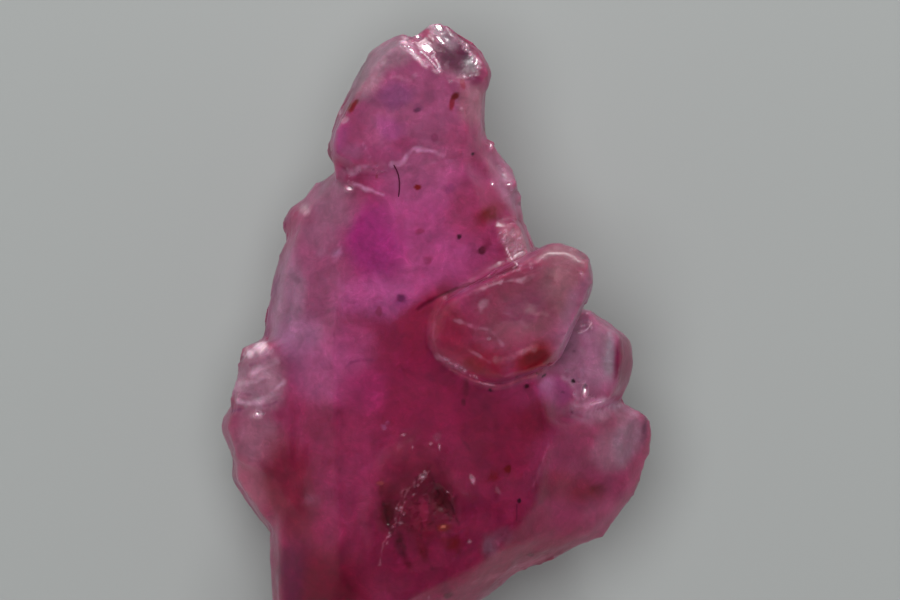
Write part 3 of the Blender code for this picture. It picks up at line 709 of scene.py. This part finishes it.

# Growth zones: how the chromium's colour is spread through the cluster, seen from above, with a few zones of
# painted shade, light and sheen, marked below.
# Each has its middle, half sizes, turn, colour and strength.
growthZones = {
    "centre": (-0.6, -1.2, 5.2, 5.6, 20, "#7C0E3C", 0.9),
    "lowerBody": (0.5, -9.0, 8.0, 5.0, 10, "#721036", 0.9),
    "upperBody": (-0.8, 5.6, 4.6, 4.6, 0, "#A4427A", 0.9),
    "leftSlope": (-6.1, 3.4, 2.6, 6.4, -8, "#90446A", 0.95),
    # leftSlopePale: a pale grey-pink veil, partly the milky crystal and partly a painted sheen of the pale
    # surroundings
    "leftSlopePale": (-7.4, 3.2, 1.0, 3.2, -5, "#8E6880", 0.7),
    "leftSlopeLow": (-6.8, 1.0, 1.6, 1.6, 10, "#9A648A", 0.6),
    "leftSlopeFoot": (-5.6, -0.6, 2.4, 2.2, 0, "#9C4A7A", 0.6),
    "upperMagenta": (-3.1, 5.9, 1.9, 2.6, 15, "#92206A", 0.9),
    "middleViolet": (-3.2, 3.2, 2.6, 1.6, 0, "#A84E88", 0.6),
    "neck": (-0.2, 8.7, 3.8, 1.7, 0, "#A4487C", 0.8),
    "neckLeft": (-5.2, 7.9, 1.9, 1.9, 20, "#8C5470", 0.9),
    "neckLeftWarm": (-5.7, 6.2, 1.4, 0.9, 0, "#905272", 0.6),
    "neckRight": (1.9, 7.4, 2.2, 2.4, 0, "#8E2E56", 0.8),
    "head": (-1.2, 12.2, 4.6, 4.8, 0, "#944A70", 0.9),
    "headCool": (-2.0, 13.2, 1.2, 0.9, 10, "#7C3E6C", 0.7),
    "headCoolLeft": (-3.2, 13.0, 0.6, 0.7, 0, "#834668", 0.6),
    "headViolet": (-2.3, 11.6, 1.2, 0.8, 0, "#954078", 0.7),
    "headRed": (-1.6, 10.95, 0.9, 0.5, 10, "#8A2C58", 0.7),
    "headLow": (-2.6, 10.4, 1.6, 0.7, 5, "#8F3464", 0.6),
    # headLeft: a pale grey-pink veil on the head's left bevel, partly the milky crystal and partly a painted
    # sheen of the pale surroundings
    "headLeft": (-3.35, 14.35, 1.05, 2.3, -27, "#966A7C", 0.95),
    "headTop": (-2.2, 15.2, 1.6, 1.0, 25, "#946E80", 0.85),
    "headLowLeft": (-4.8, 11.1, 0.7, 1.3, -10, "#964074", 0.8),
    "headLowCloud": (-4.2, 10.3, 0.7, 0.6, 0, "#8C4E74", 0.6),
    "headRight": (1.75, 12.8, 0.95, 1.6, 0, "#945C6E", 0.85),
    "headRightLow": (1.3, 11.2, 1.4, 1.1, 0, "#943C62", 0.6),
    "crown": (1.0, 15.1, 1.9, 1.2, -40, "#521A38", 0.95),
    "crownGrey": (1.55, 14.9, 0.7, 0.45, -50, "#523648", 0.5),
    "crownTop": (0.3, 16.2, 1.2, 0.5, -40, "#8E7080", 0.8),
    "shoulder": (3.4, 9.0, 0.8, 2.4, 25, "#98647E", 0.8),
    "roughPatch": (3.9, 5.8, 0.8, 1.5, 25, "#A06E7E", 0.9),
    # slabShadow and slabShadowLeft are a painted shadow: the crimson band the slab casts beside it
    "slabShadow": (-0.4, 2.5, 2.4, 1.2, 35, "#840E38", 0.9),
    "slabShadowLeft": (-0.9, 1.0, 0.9, 1.8, 0, "#800E38", 0.7),
    "slab": (3.9, 2.2, 4.9, 3.4, 35, "#842C4C", 0.95),
    "slabLeft": (0.8, 1.6, 1.1, 2.2, 12, "#82183A", 0.95),
    "slabLow": (2.3, 0.0, 1.5, 1.0, -10, "#7C0C2C", 0.9),
    "slabLowRight": (4.9, 0.0, 1.5, 0.85, 22, "#7C0618", 0.98),
    "slabMauve": (4.4, 2.6, 1.6, 1.2, 30, "#802A54", 0.6),
    # slabRight: a pale grey-pink veil, partly the milky crystal and partly a painted sheen of the pale
    # surroundings
    "slabRight": (6.3, 4.2, 1.9, 1.9, 0, "#8E5464", 0.85),
    "slabFar": (6.6, 2.4, 0.8, 1.6, 25, "#8E4A5E", 0.7),
    "slabEdgeTop": (6.4, 5.25, 2.3, 0.9, -8, "#84505F", 0.95),
    "slabEdgeRight": (7.2, 2.6, 0.9, 3.2, -20, "#86506A", 0.9),
    "rightCrystal": (7.6, 0.0, 2.6, 2.9, 0, "#9C6482", 0.95),
    "rightTop": (8.2, 1.2, 1.0, 0.9, -30, "#9A6A80", 0.7),
    "rightGrey": (8.6, 0.1, 0.6, 1.5, 5, "#947C8C", 0.85),
    "rightBand": (9.5, -0.05, 0.75, 1.8, -3, "#6E0C3C", 1.0),
    "violetWedge": (5.9, -1.6, 0.9, 1.3, 40, "#964072", 0.9),
    # rightNotch is painted light: it lightens the notch below the right crystal, where the lamps leave shade
    "rightNotch": (7.9, -2.5, 1.9, 0.7, 0, "#A86A88", 0.8),
    "rightMiddle": (3.2, -4.2, 2.9, 3.0, 0, "#761036", 0.9),
    "rightCrimson": (4.9, -3.0, 1.2, 1.4, -30, "#6E0C28", 0.7),
    "lowerRight": (7.4, -6.0, 3.2, 3.4, 20, "#7C224A", 0.9),
    "lowerRightRed": (6.4, -6.4, 1.9, 1.1, 0, "#701030", 0.75),
    "lowerRightPale": (8.6, -4.4, 1.2, 1.6, 10, "#905870", 0.7),
    "lowerRightEdge": (8.3, -8.0, 2.2, 0.9, 40, "#903E60", 0.7),
    "lowerRightFoot": (6.6, -8.6, 2.0, 0.8, 20, "#862A50", 0.7),
    "lowerRightEnd": (9.5, -4.0, 1.0, 1.9, -10, "#866678", 0.7),
    "leftLedges": (-8.9, -1.0, 1.8, 2.6, 0, "#9A6A80", 0.95),
    "leftLow": (-8.9, -4.0, 1.9, 1.9, -20, "#925970", 0.9),
    "leftMiddle": (-5.4, -4.0, 2.2, 2.4, 0, "#802048", 0.8),
    "lowerLeft": (-7.3, -6.6, 2.0, 3.6, 15, "#720E2C", 0.9),
    "lowerLeftEdge": (-9.3, -6.2, 1.1, 1.8, 35, "#9C5068", 0.7),
    "centreLeft": (-3.6, -1.4, 1.6, 1.9, 0, "#94245C", 0.7),
    "middlePink": (-4.3, 0.7, 1.6, 1.5, 0, "#9A4474", 0.5),
    "lowRim": (4.6, -10.0, 4.4, 1.4, 24, "#741238", 0.9),
    "foot": (-5.6, -11.6, 3.4, 3.4, 0, "#620020", 0.95),
    "footViolet": (-7.2, -11.0, 1.0, 2.6, -5, "#5C0E38", 0.7),
    "dome": (-0.9, -6.6, 2.9, 3.5, 0, "#620E28", 0.92),
    "domeTop": (-1.5, -4.9, 1.5, 1.1, 15, "#721234", 0.75),
    "domeCrimson": (-0.4, -8.6, 1.0, 1.2, 0, "#620A24", 0.8),
    "lowerCloud": (2.7, -9.2, 0.6, 0.8, 0, "#6C4458", 0.8),
    "lowerCloudTwo": (3.4, -8.7, 0.7, 0.5, 0, "#6E3A52", 0.6),
}

# Stains, specks and filled hollows, with a few painted highlights and halos, marked below. Each has its
# middle, half sizes, turn, colour and strength.
stains = {
    "headRustLeft": (-4.15, 12.62, 0.46, 0.24, 55, "#6E1018", 0.95),
    "headRustRight": (0.95, 13.12, 0.36, 0.26, 42, "#640A12", 1.0),
    "headRustTail": (0.8, 12.7, 0.22, 0.4, 0, "#7A1426", 0.9),
    "headRustUpper": (1.35, 13.76, 0.18, 0.32, 0, "#84203C", 0.8),
    "headSpeck": (-0.92, 12.5, 0.2, 0.17, 30, "#3C0E30", 0.9),
    "headSpeckHalo": (-0.85, 12.6, 0.28, 0.26, 0, "#72365E", 0.5),
    "headBlur": (-0.1, 11.1, 0.22, 0.32, 20, "#7C2C56", 0.7),
    "headPaleDot": (1.28, 12.58, 0.1, 0.1, 0, "#B98A9C", 0.8),
    "headNub": (-4.76, 12.38, 0.17, 0.15, 0, "#B08A98", 0.8),
    "headNubLow": (-4.6, 12.02, 0.26, 0.2, 0, "#A87F90", 0.7),
    "edgeSpeck": (2.4, 11.7, 0.08, 0.09, 0, "#47122C", 0.9),
    "neckSpeck": (1.78, 10.3, 0.14, 0.12, 0, "#360420", 1.0),
    "neckRed": (-0.82, 8.57, 0.21, 0.18, 0, "#7A0408", 1.0),
    "neckRedLeft": (-2.95, 9.18, 0.09, 0.22, 0, "#7A2038", 0.8),
    "neckBlur": (0.6, 8.55, 0.28, 0.24, 0, "#822C62", 0.6),
    "neckBlurRight": (2.0, 8.5, 0.32, 0.28, 0, "#8A2E56", 0.6),
    "rustBand": (2.65, 7.3, 1.15, 0.54, 28, "#640810", 1.0),
    "rustBandTail": (2.3, 6.75, 0.6, 0.42, 40, "#8E2440", 0.25),
    "bodyRedA": (-0.8, 6.4, 0.32, 0.22, 0, "#84204A", 0.7),
    "bodyRedB": (-0.35, 5.0, 0.3, 0.24, 0, "#842650", 0.6),
    "bodySpeck": (2.32, 5.46, 0.27, 0.25, 20, "#4C0A20", 0.9),
    "bodySpeckHalo": (2.5, 5.8, 0.4, 0.44, 0, "#6C183A", 0.6),
    "bodySpeckTwo": (1.17, 6.12, 0.14, 0.18, 0, "#3A0622", 1.0),
    "bodyInk": (-1.78, 3.08, 0.3, 0.27, 20, "#480A3A", 0.85),
    "bodyInkHalo": (-1.75, 2.95, 0.62, 0.5, 20, "#68184E", 0.75),
    "bodyInkLeft": (-2.85, 2.4, 0.2, 0.42, 0, "#7C2244", 0.6),
    "slopeSpotA": (-4.9, 5.33, 0.36, 0.34, 0, "#A8709A", 0.8),
    "slopeSpotB": (-5.7, 5.4, 0.34, 0.32, 0, "#98607F", 0.6),
    # bumpPale is a painted highlight on the top of the left bump
    "bumpPale": (-6.63, 7.55, 0.42, 0.38, 0, "#AE8896", 0.85),
    "bumpEdge": (-7.62, 6.95, 0.28, 0.75, -20, "#7A1C50", 0.85),
    # ledgeTopA and ledgeTopB are painted highlights on the ledge tops; leftStarHalo is a painted halo around
    # the left glint
    "ledgeTopA": (-8.85, 0.66, 0.5, 0.44, 0, "#E0C2CE", 1.0),
    "ledgeTopB": (-9.38, 0.36, 0.42, 0.36, 0, "#D8B8C6", 1.0),
    "leftStarHalo": (-8.95, -2.72, 0.42, 0.32, 0, "#CFA4B6", 0.9),
    "pocketBrown": (1.5, -1.35, 0.34, 0.62, 5, "#4C0A1E", 0.85),
    "pocketBrownLow": (1.42, -2.1, 0.14, 0.26, 0, "#500A22", 0.8),
    "slabRedA": (2.0, 0.65, 0.42, 0.38, 20, "#720822", 0.7),
    "slabRedB": (1.9, -0.25, 0.66, 0.46, -10, "#7A0A1C", 0.8),
    "slabRedC": (5.0, 0.0, 1.25, 0.56, 22, "#5C0614", 0.95),
    "rimSpeckA": (2.64, -1.5, 0.13, 0.11, 0, "#220008", 1.0),
    "rimSpeckB": (4.6, -1.32, 0.18, 0.17, 0, "#30040E", 1.0),
    "rimSpeckC": (5.42, -0.78, 0.18, 0.09, 30, "#2C0810", 1.0),
    "rimSpeckD": (5.0, -0.68, 0.2, 0.08, 10, "#4C1010", 0.85),
    "rimSpeckE": (4.08, -0.85, 0.07, 0.06, 0, "#4A0A18", 0.85),
    "rightSpeck": (6.84, -1.06, 0.14, 0.13, 0, "#14030C", 1.0),
    "rightSpeckFaint": (6.28, -1.56, 0.1, 0.08, 0, "#6A2A50", 0.8),
    "rightSpeckTop": (6.84, 0.44, 0.07, 0.07, 0, "#6E3052", 0.8),
    "brownSpot": (8.1, -6.55, 0.64, 0.56, 20, "#56040C", 1.0),
    "brownHalo": (7.4, -6.7, 1.2, 0.7, 20, "#6E0E22", 0.65),
    "endMark": (10.38, -3.5, 0.34, 0.95, -5, "#5E2444", 0.95),
    "endBand": (9.45, 0.0, 0.5, 1.5, -3, "#780E40", 0.85),
    "lowSpeck": (4.13, -7.03, 0.13, 0.12, 0, "#1C030C", 1.0),
    "lowRedA": (3.55, -5.45, 0.26, 0.26, 0, "#62040C", 1.0),
    "lowRedB": (2.83, -5.85, 0.34, 0.3, 0, "#660414", 0.95),
    "lowPale": (3.1, -6.5, 0.16, 0.2, 0, "#7C4458", 0.7),
    "lowDiagonal": (1.5, -4.15, 0.12, 0.6, 35, "#5E1430", 0.7),
    "lowSpeckFoot": (4.75, -9.75, 0.18, 0.17, 0, "#5A1028", 0.85),
    "footSpeck": (0.6, -11.8, 0.3, 0.2, 10, "#4C0A1E", 0.85),
    "footDot": (-0.33, -11.85, 0.09, 0.09, 0, "#8E4A66", 0.8),
    # domePale, bodyPale and bodyPaleTwo are painted soft highlights on the dome's brow
    "domePale": (0.05, -3.85, 0.26, 0.26, 0, "#7E3C58", 0.5),
    "bodyPale": (-2.58, -3.37, 0.16, 0.16, 0, "#90507A", 0.5),
    "bodyPaleTwo": (-2.4, -3.1, 0.16, 0.14, 0, "#8A4470", 0.4),
    "hollowLeft": (-2.5, -7.7, 0.62, 1.25, 8, "#4C1016", 0.85),
    "hollowLeftTop": (-2.5, -6.4, 0.7, 0.6, 0, "#560E16", 0.75),
    "hollowOrange": (-2.78, -6.1, 0.2, 0.18, 0, "#8A3C3C", 0.7),
    "hollowLow": (-1.74, -9.3, 0.44, 0.92, 18, "#3C0A14", 0.9),
    "hollowLowTail": (-1.45, -10.2, 0.34, 0.5, 20, "#4A0412", 0.8),
    "hollowRight": (0.4, -7.15, 0.62, 1.35, 30, "#541018", 0.8),
    "hollowRust": (0.42, -8.35, 0.42, 0.3, 0, "#701C1C", 0.9),
    "hollowRustPale": (0.42, -8.28, 0.16, 0.12, 0, "#B0665A", 0.9),
    "hollowRustLow": (0.8, -9.2, 0.7, 0.5, -20, "#640A10", 0.9),
    "hollowStripe": (-0.6, -7.5, 0.22, 1.1, 8, "#82183C", 0.7),
    "hollowFoot": (-0.6, -9.6, 0.36, 0.95, 15, "#580410", 0.75),
    # domeRightPale is a painted halo around the glint beside it
    "domeRightPale": (1.8, -5.9, 0.13, 0.38, 20, "#9A6074", 0.7),
    "wedgeCloud": (5.6, -1.2, 0.55, 0.45, 30, "#B070A0", 0.4),
    "slabCloudA": (2.35, 2.85, 0.35, 0.3, 0, "#9A5E74", 0.4),
    "slabCloudB": (4.7, 2.6, 0.45, 0.35, 20, "#9C6A7A", 0.45),
    "slabCloudC": (6.2, 4.3, 0.7, 0.5, 10, "#A0707A", 0.4),
    "footPaleLeft": (-6.2, -7.0, 0.7, 0.5, 20, "#8A4464", 0.5),
}


def wandering(points, size, reach, seed):
    # an uneven shift of each point, in mm
    return np.stack([layeredNoise(points, size, 2, seed + k) for k in range(3)], axis=1) * reach


def tinted(colour, hexColour, share):
    return colour * (1 - share[:, None]) + np.array(linear(hexColour)[:3]) * share[:, None]


def paintZones(points, normals, thickness):
    # linear colour of the crystal at each point, with the painted highlights, halos, sheen, light and shade
    # marked below
    colour = np.tile(linear(growth["edge"])[:3], (len(points), 1))
    colour = tinted(colour, growth["shallow"], smoothStep(*growth["thin"], thickness))
    colour = tinted(colour, growth["deep"], smoothStep(*growth["thick"], thickness))
    front = smoothStep(-0.5, -0.05, normals[:, 2])
    seen = smoothStep(0.0, 0.25, normals[:, 2]) * uncovered(points)
    wander = wandering(points, *growth["wander"], seeds["zones"])
    for *zone, hexColour, strength in growthZones.values():
        share = front * strength * blob(points + wander, zone, growth["zoneCore"])
        colour = tinted(colour, hexColour, share)
    # painted shading: the steep sides are tinted by their slope, standing in for how light falls on them
    hexColour, rise, strength = growth["rim"]
    colour = tinted(colour, hexColour, strength * (1 - smoothStep(*rise, normals[:, 2])))
    places = points + 0.2 * wander + wandering(points, *growth["ragged"], seeds["stains"])
    size, paler = growth["patchy"]
    patchy = seen * (1 - paler * smoothStep(-0.2, 0.5, layeredNoise(points, size, 2, seeds["stainPatches"])))
    for *zone, hexColour, strength in stains.values():
        large = min(zone[2:4]) > skin["largeSpot"]
        share = (patchy if large else seen) * strength * blob(places, zone, growth["stainCores"][large])
        colour = tinted(colour, hexColour, share)
    # painted highlight: a pale halo around each glint
    hexColour, reach, strength = growth["glow"]
    for x, y, half, otherHalf, turn in sparks:
        glow = blob(points, (x, y, reach * half, reach * otherHalf, turn), growth["glowCore"])
        colour = tinted(colour, hexColour, seen * strength * glow)
    for near, share, _, hexColour, strength in strokeProfiles(points):
        colour[near] = tinted(colour[near], hexColour, share * strength * seen[near])
    return colour


# How much light goes straight through: little in the cloudy mass, more in thin and in clear ends
clarity = {
    "thin": 0.14,
    "thick": 0.02,
    "between": (0.5, 3.5),       # mm of crystal behind, over which thin turns into thick
    "zones": {
        "lowerRightEnd": (9.9, -4.0, 1.1, 1.8, -10, 0.22),
        "rightGrey": (8.5, 0.0, 1.0, 1.9, 0, 0.20),
        "headLeft": (-3.7, 14.2, 0.9, 2.4, -27, 0.25),
        "ledges": (-9.2, -0.8, 1.5, 2.4, 0, 0.15),
        "crown": (1.0, 15.2, 2.0, 1.4, -40, 0.06),
        "slab": (4.6, 2.6, 3.6, 2.4, 30, 0.15),
    },
}


def clarityOf(points, thickness):
    thick = smoothStep(*clarity["between"], thickness)
    clear = clarity["thin"] * (1 - thick) + clarity["thick"] * thick
    for *zone, value in clarity["zones"].values():
        clear = np.maximum(clear, value * blob(points, zone))
    for near, share, _, _, strength in strokeProfiles(points):
        clear[near] *= 1 - share * strength
    return clear


def addAttribute(mesh, name, values):
    attribute = mesh.attributes.new(name, "FLOAT", "POINT")
    attribute.data.foreach_set("value", values.astype(np.float32))


def addColour(mesh, name, colour):
    attribute = mesh.color_attributes.new(name, "FLOAT_COLOR", "POINT")
    full = np.ones((len(colour), 4), np.float32)
    full[:, :3] = colour
    attribute.data.foreach_set("color", full.ravel())


def buildCrystal():
    piece = rebuiltOnGrid(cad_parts["ruby_crystal"], "ruby_surface", skin["voxel"])
    mesh = piece.data
    points, edges = readPoints(mesh), readEdges(mesh)
    worn = 1 - largest(points, skin["crisp"].values())[:, None]
    points = wornDown(points, edges, skin["crispRounds"], 1.0)
    points = wornDown(points, edges, skin["softening"] - skin["crispRounds"], worn)
    upward = smoothStep(0.1, 0.5, readNormals(mesh)[:, 2])
    for zone, rounds in skin["settled"].values():
        points[:, 2:] = smoothed(points[:, 2:], edges, rounds, 0.7 * (blob(points, zone) * upward)[:, None])
    writePoints(mesh, points)
    for zones, reach in zip((skin["fine"], skin["finest"]), skin["besideStrokes"]):
        splitFine(mesh, zones.values(), reach)
    points, edges = readPoints(mesh), readEdges(mesh)
    points = wornDown(points, edges, skin["lastRounds"], 1.0)
    writePoints(mesh, points)
    normals = readNormals(mesh)
    points = points + normals * growRelief(points, normals)[:, None]
    writePoints(mesh, points)
    polish = cutGlints(points, readNormals(mesh))
    points[:, 2] = np.maximum(points[:, 2], 0.0)
    writePoints(mesh, points)
    normals = readNormals(mesh)
    thickness = thicknessOf(mesh, points, normals)
    addAttribute(mesh, "clarity", clarityOf(points, thickness))
    addAttribute(mesh, "polish", polish)
    addColour(mesh, "growth", paintZones(points, normals, thickness))
    for polygon in mesh.polygons:
        polygon.use_smooth = True
    return piece


# Ruby is corundum coloured by chromium. Natural faces, grown and then etched: a glassy skin over a milky
# inside, nearly clear where it is thin, so that light goes in, turns pink and comes out soft.
ruby = {
    "ior": 1.765,
    "roughness": (0.28, 0.44),
    "polished": 0.16,            # roughness of the glints
    "scatterReach": 0.7,         # mm
    "scatterShares": (1.0, 0.3, 0.5),    # of that reach, for red, green and blue
    "absorb": "#F0609A",
    "absorbPerMetre": 320.0,
    "cloud": (1.5, 0.80, 1.20),  # milky clouds: size in mm, and how bright it is between and in them
    "mottle": (0.45, 0.88, 1.14),
    "healed": (1.4, 0.020, 0.20),    # healed cracks: size of their net in mm, width in the noise, brightness
    "worn": 1.1,                 # size in mm of the more and less worn patches
    "grain": (0.16, 0.12, 0.1),  # size in mm, strength, depth in mm
}


def rubyCorundum():
    material = bpy.data.materials.new("ruby corundum")
    material.use_nodes = True
    tree = material.node_tree
    tree.nodes.clear()
    out = addNode(tree, "OutputMaterial")
    place = addNode(tree, "TexCoord").outputs["Object"]
    colour = addNode(tree, "Attribute", {"attribute_name": "growth"}).outputs["Color"]
    clear = addNode(tree, "Attribute", {"attribute_name": "clarity"}).outputs["Fac"]
    polish = addNode(tree, "Attribute", {"attribute_name": "polish"}).outputs["Fac"]

    clouds = {}
    for name in ("cloud", "mottle"):
        size, dark, bright = ruby[name]
        clouds[name] = addNoise(tree, place, size, 4.0, 0.62, 0.7)
        shade = addRange(tree, clouds[name], 0.32, 0.68, dark, bright)
        colour = addNode(tree, "VectorMath", {"operation": "SCALE"}, _0=colour, Scale=shade).outputs[0]

    # the healed cracks follow the noise's middle value, where it is cloudy
    size, width, strength = ruby["healed"]
    net = addNoise(tree, place, size, 3.0, 0.55, 1.2)
    off = addNode(tree, "Math", {"operation": "SUBTRACT", 1: 0.5}, _0=net).outputs["Value"]
    off = addNode(tree, "Math", {"operation": "ABSOLUTE"}, _0=off).outputs["Value"]
    thread = addRange(tree, off, 0.0, width, strength, 0.0)
    here = addRange(tree, clouds["cloud"], 0.42, 0.62)
    brighter = addNode(tree, "Math", {"operation": "MULTIPLY_ADD", 2: 1.0}, _0=thread, _1=here)
    colour = addNode(tree, "VectorMath", {"operation": "SCALE"},
                     _0=colour, Scale=brighter.outputs["Value"]).outputs[0]

    rough = addRange(tree, addNoise(tree, place, ruby["worn"], 3.0), 0.3, 0.7, *ruby["roughness"])
    rough = addNode(tree, "Mix", {3: ruby["polished"]}, _0=polish, _2=rough)    # 2 and 3 are mixed by 0
    size, strength, depth = ruby["grain"]
    bump = addNode(tree, "Bump", {"Strength": strength, "Distance": depth * mm},
                   Height=addNoise(tree, place, size, 3.0, 0.6))
    surface = addNode(tree, "BsdfPrincipled", {
        "IOR": ruby["ior"],
        "Subsurface Weight": 1.0,
        "Subsurface Radius": ruby["scatterShares"],
        "Subsurface Scale": ruby["scatterReach"] * mm,
    }, BaseColor=colour, Roughness=rough.outputs[0], Normal=bump.outputs["Normal"],
        TransmissionWeight=clear)
    inside = addNode(tree, "VolumeAbsorption", {
        "Color": linear(ruby["absorb"]), "Density": ruby["absorbPerMetre"]})
    tree.links.new(surface.outputs["BSDF"], out.inputs["Surface"])
    tree.links.new(inside.outputs["Volume"], out.inputs["Volume"])
    return material


# A lint hair that lies over the neck
lint = {
    "route": [(-2.11, 9.74), (-1.97, 9.5), (-1.87, 9.22), (-1.82, 8.87), (-1.82, 8.52), (-1.87, 8.13)],
    "steps": 3,                  # on each stretch of the route
    "thickness": 0.075,
    "raised": 0.6,               # its middle over the ground, in radii
    "tips": 0.45,                # thickness of its two ends, as a share
    "sides": 6,
    "colour": "#541232",
    "roughness": 0.8,
}


def buildLint(onto):
    tree = treeOf(onto.data, readPoints(onto.data))
    route, steps = [], lint["steps"]
    for (x, y), (nextX, nextY) in zip(lint["route"], lint["route"][1:]):
        route += [(x + (nextX - x) * step / steps, y + (nextY - y) * step / steps) for step in range(steps)]
    route.append(lint["route"][-1])
    radius = lint["thickness"] / 2
    aboveAll = 30.0              # mm
    shape = bmesh.new()
    rings = []
    for index, (x, y) in enumerate(route):
        before, after = route[max(index - 1, 0)], route[min(index + 1, len(route) - 1)]
        along = Vector((after[0] - before[0], after[1] - before[1], 0)).normalized()
        side = Vector((-along.y, along.x, 0))
        ground = tree.ray_cast(Vector((x, y, aboveAll)), Vector((0, 0, -1)))[0].z
        middle = Vector((x, y, ground + lint["raised"] * radius))
        taper = lint["tips"] if index in (0, len(route) - 1) else 1.0
        ring = []
        for corner in range(lint["sides"]):
            angle = math.tau * corner / lint["sides"]
            ring.append(shape.verts.new((middle + (side * math.cos(angle) + Vector((0, 0, math.sin(angle))))
                                         * radius * taper) * mm))
        rings.append(ring)
    for ring, following in zip(rings, rings[1:]):
        for corner in range(lint["sides"]):
            other = (corner + 1) % lint["sides"]
            shape.faces.new((ring[corner], following[corner], following[other], ring[other]))
    shape.faces.new(rings[0])
    shape.faces.new(reversed(rings[-1]))
    bmesh.ops.recalc_face_normals(shape, faces=shape.faces)
    mesh = bpy.data.meshes.new("lint")
    shape.to_mesh(mesh)
    shape.free()
    for polygon in mesh.polygons:
        polygon.use_smooth = True
    return placed("lint", mesh)


def dress(piece, material):
    piece.data.materials.clear()
    piece.data.materials.append(material)
    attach(piece, "root")


buildCamera()
buildSetting()
print("camera, card and lamps placed")

crystal = buildCrystal()
dress(crystal, rubyCorundum())
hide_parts("ruby_crystal")
print("crystal surface:", len(crystal.data.vertices), "points,",
      sum(len(face.vertices) - 2 for face in crystal.data.polygons), "triangles")

dress(buildLint(crystal), mattMaterial("dyed cotton fibre", lint["colour"], lint["roughness"]))
print("lint hair laid on")
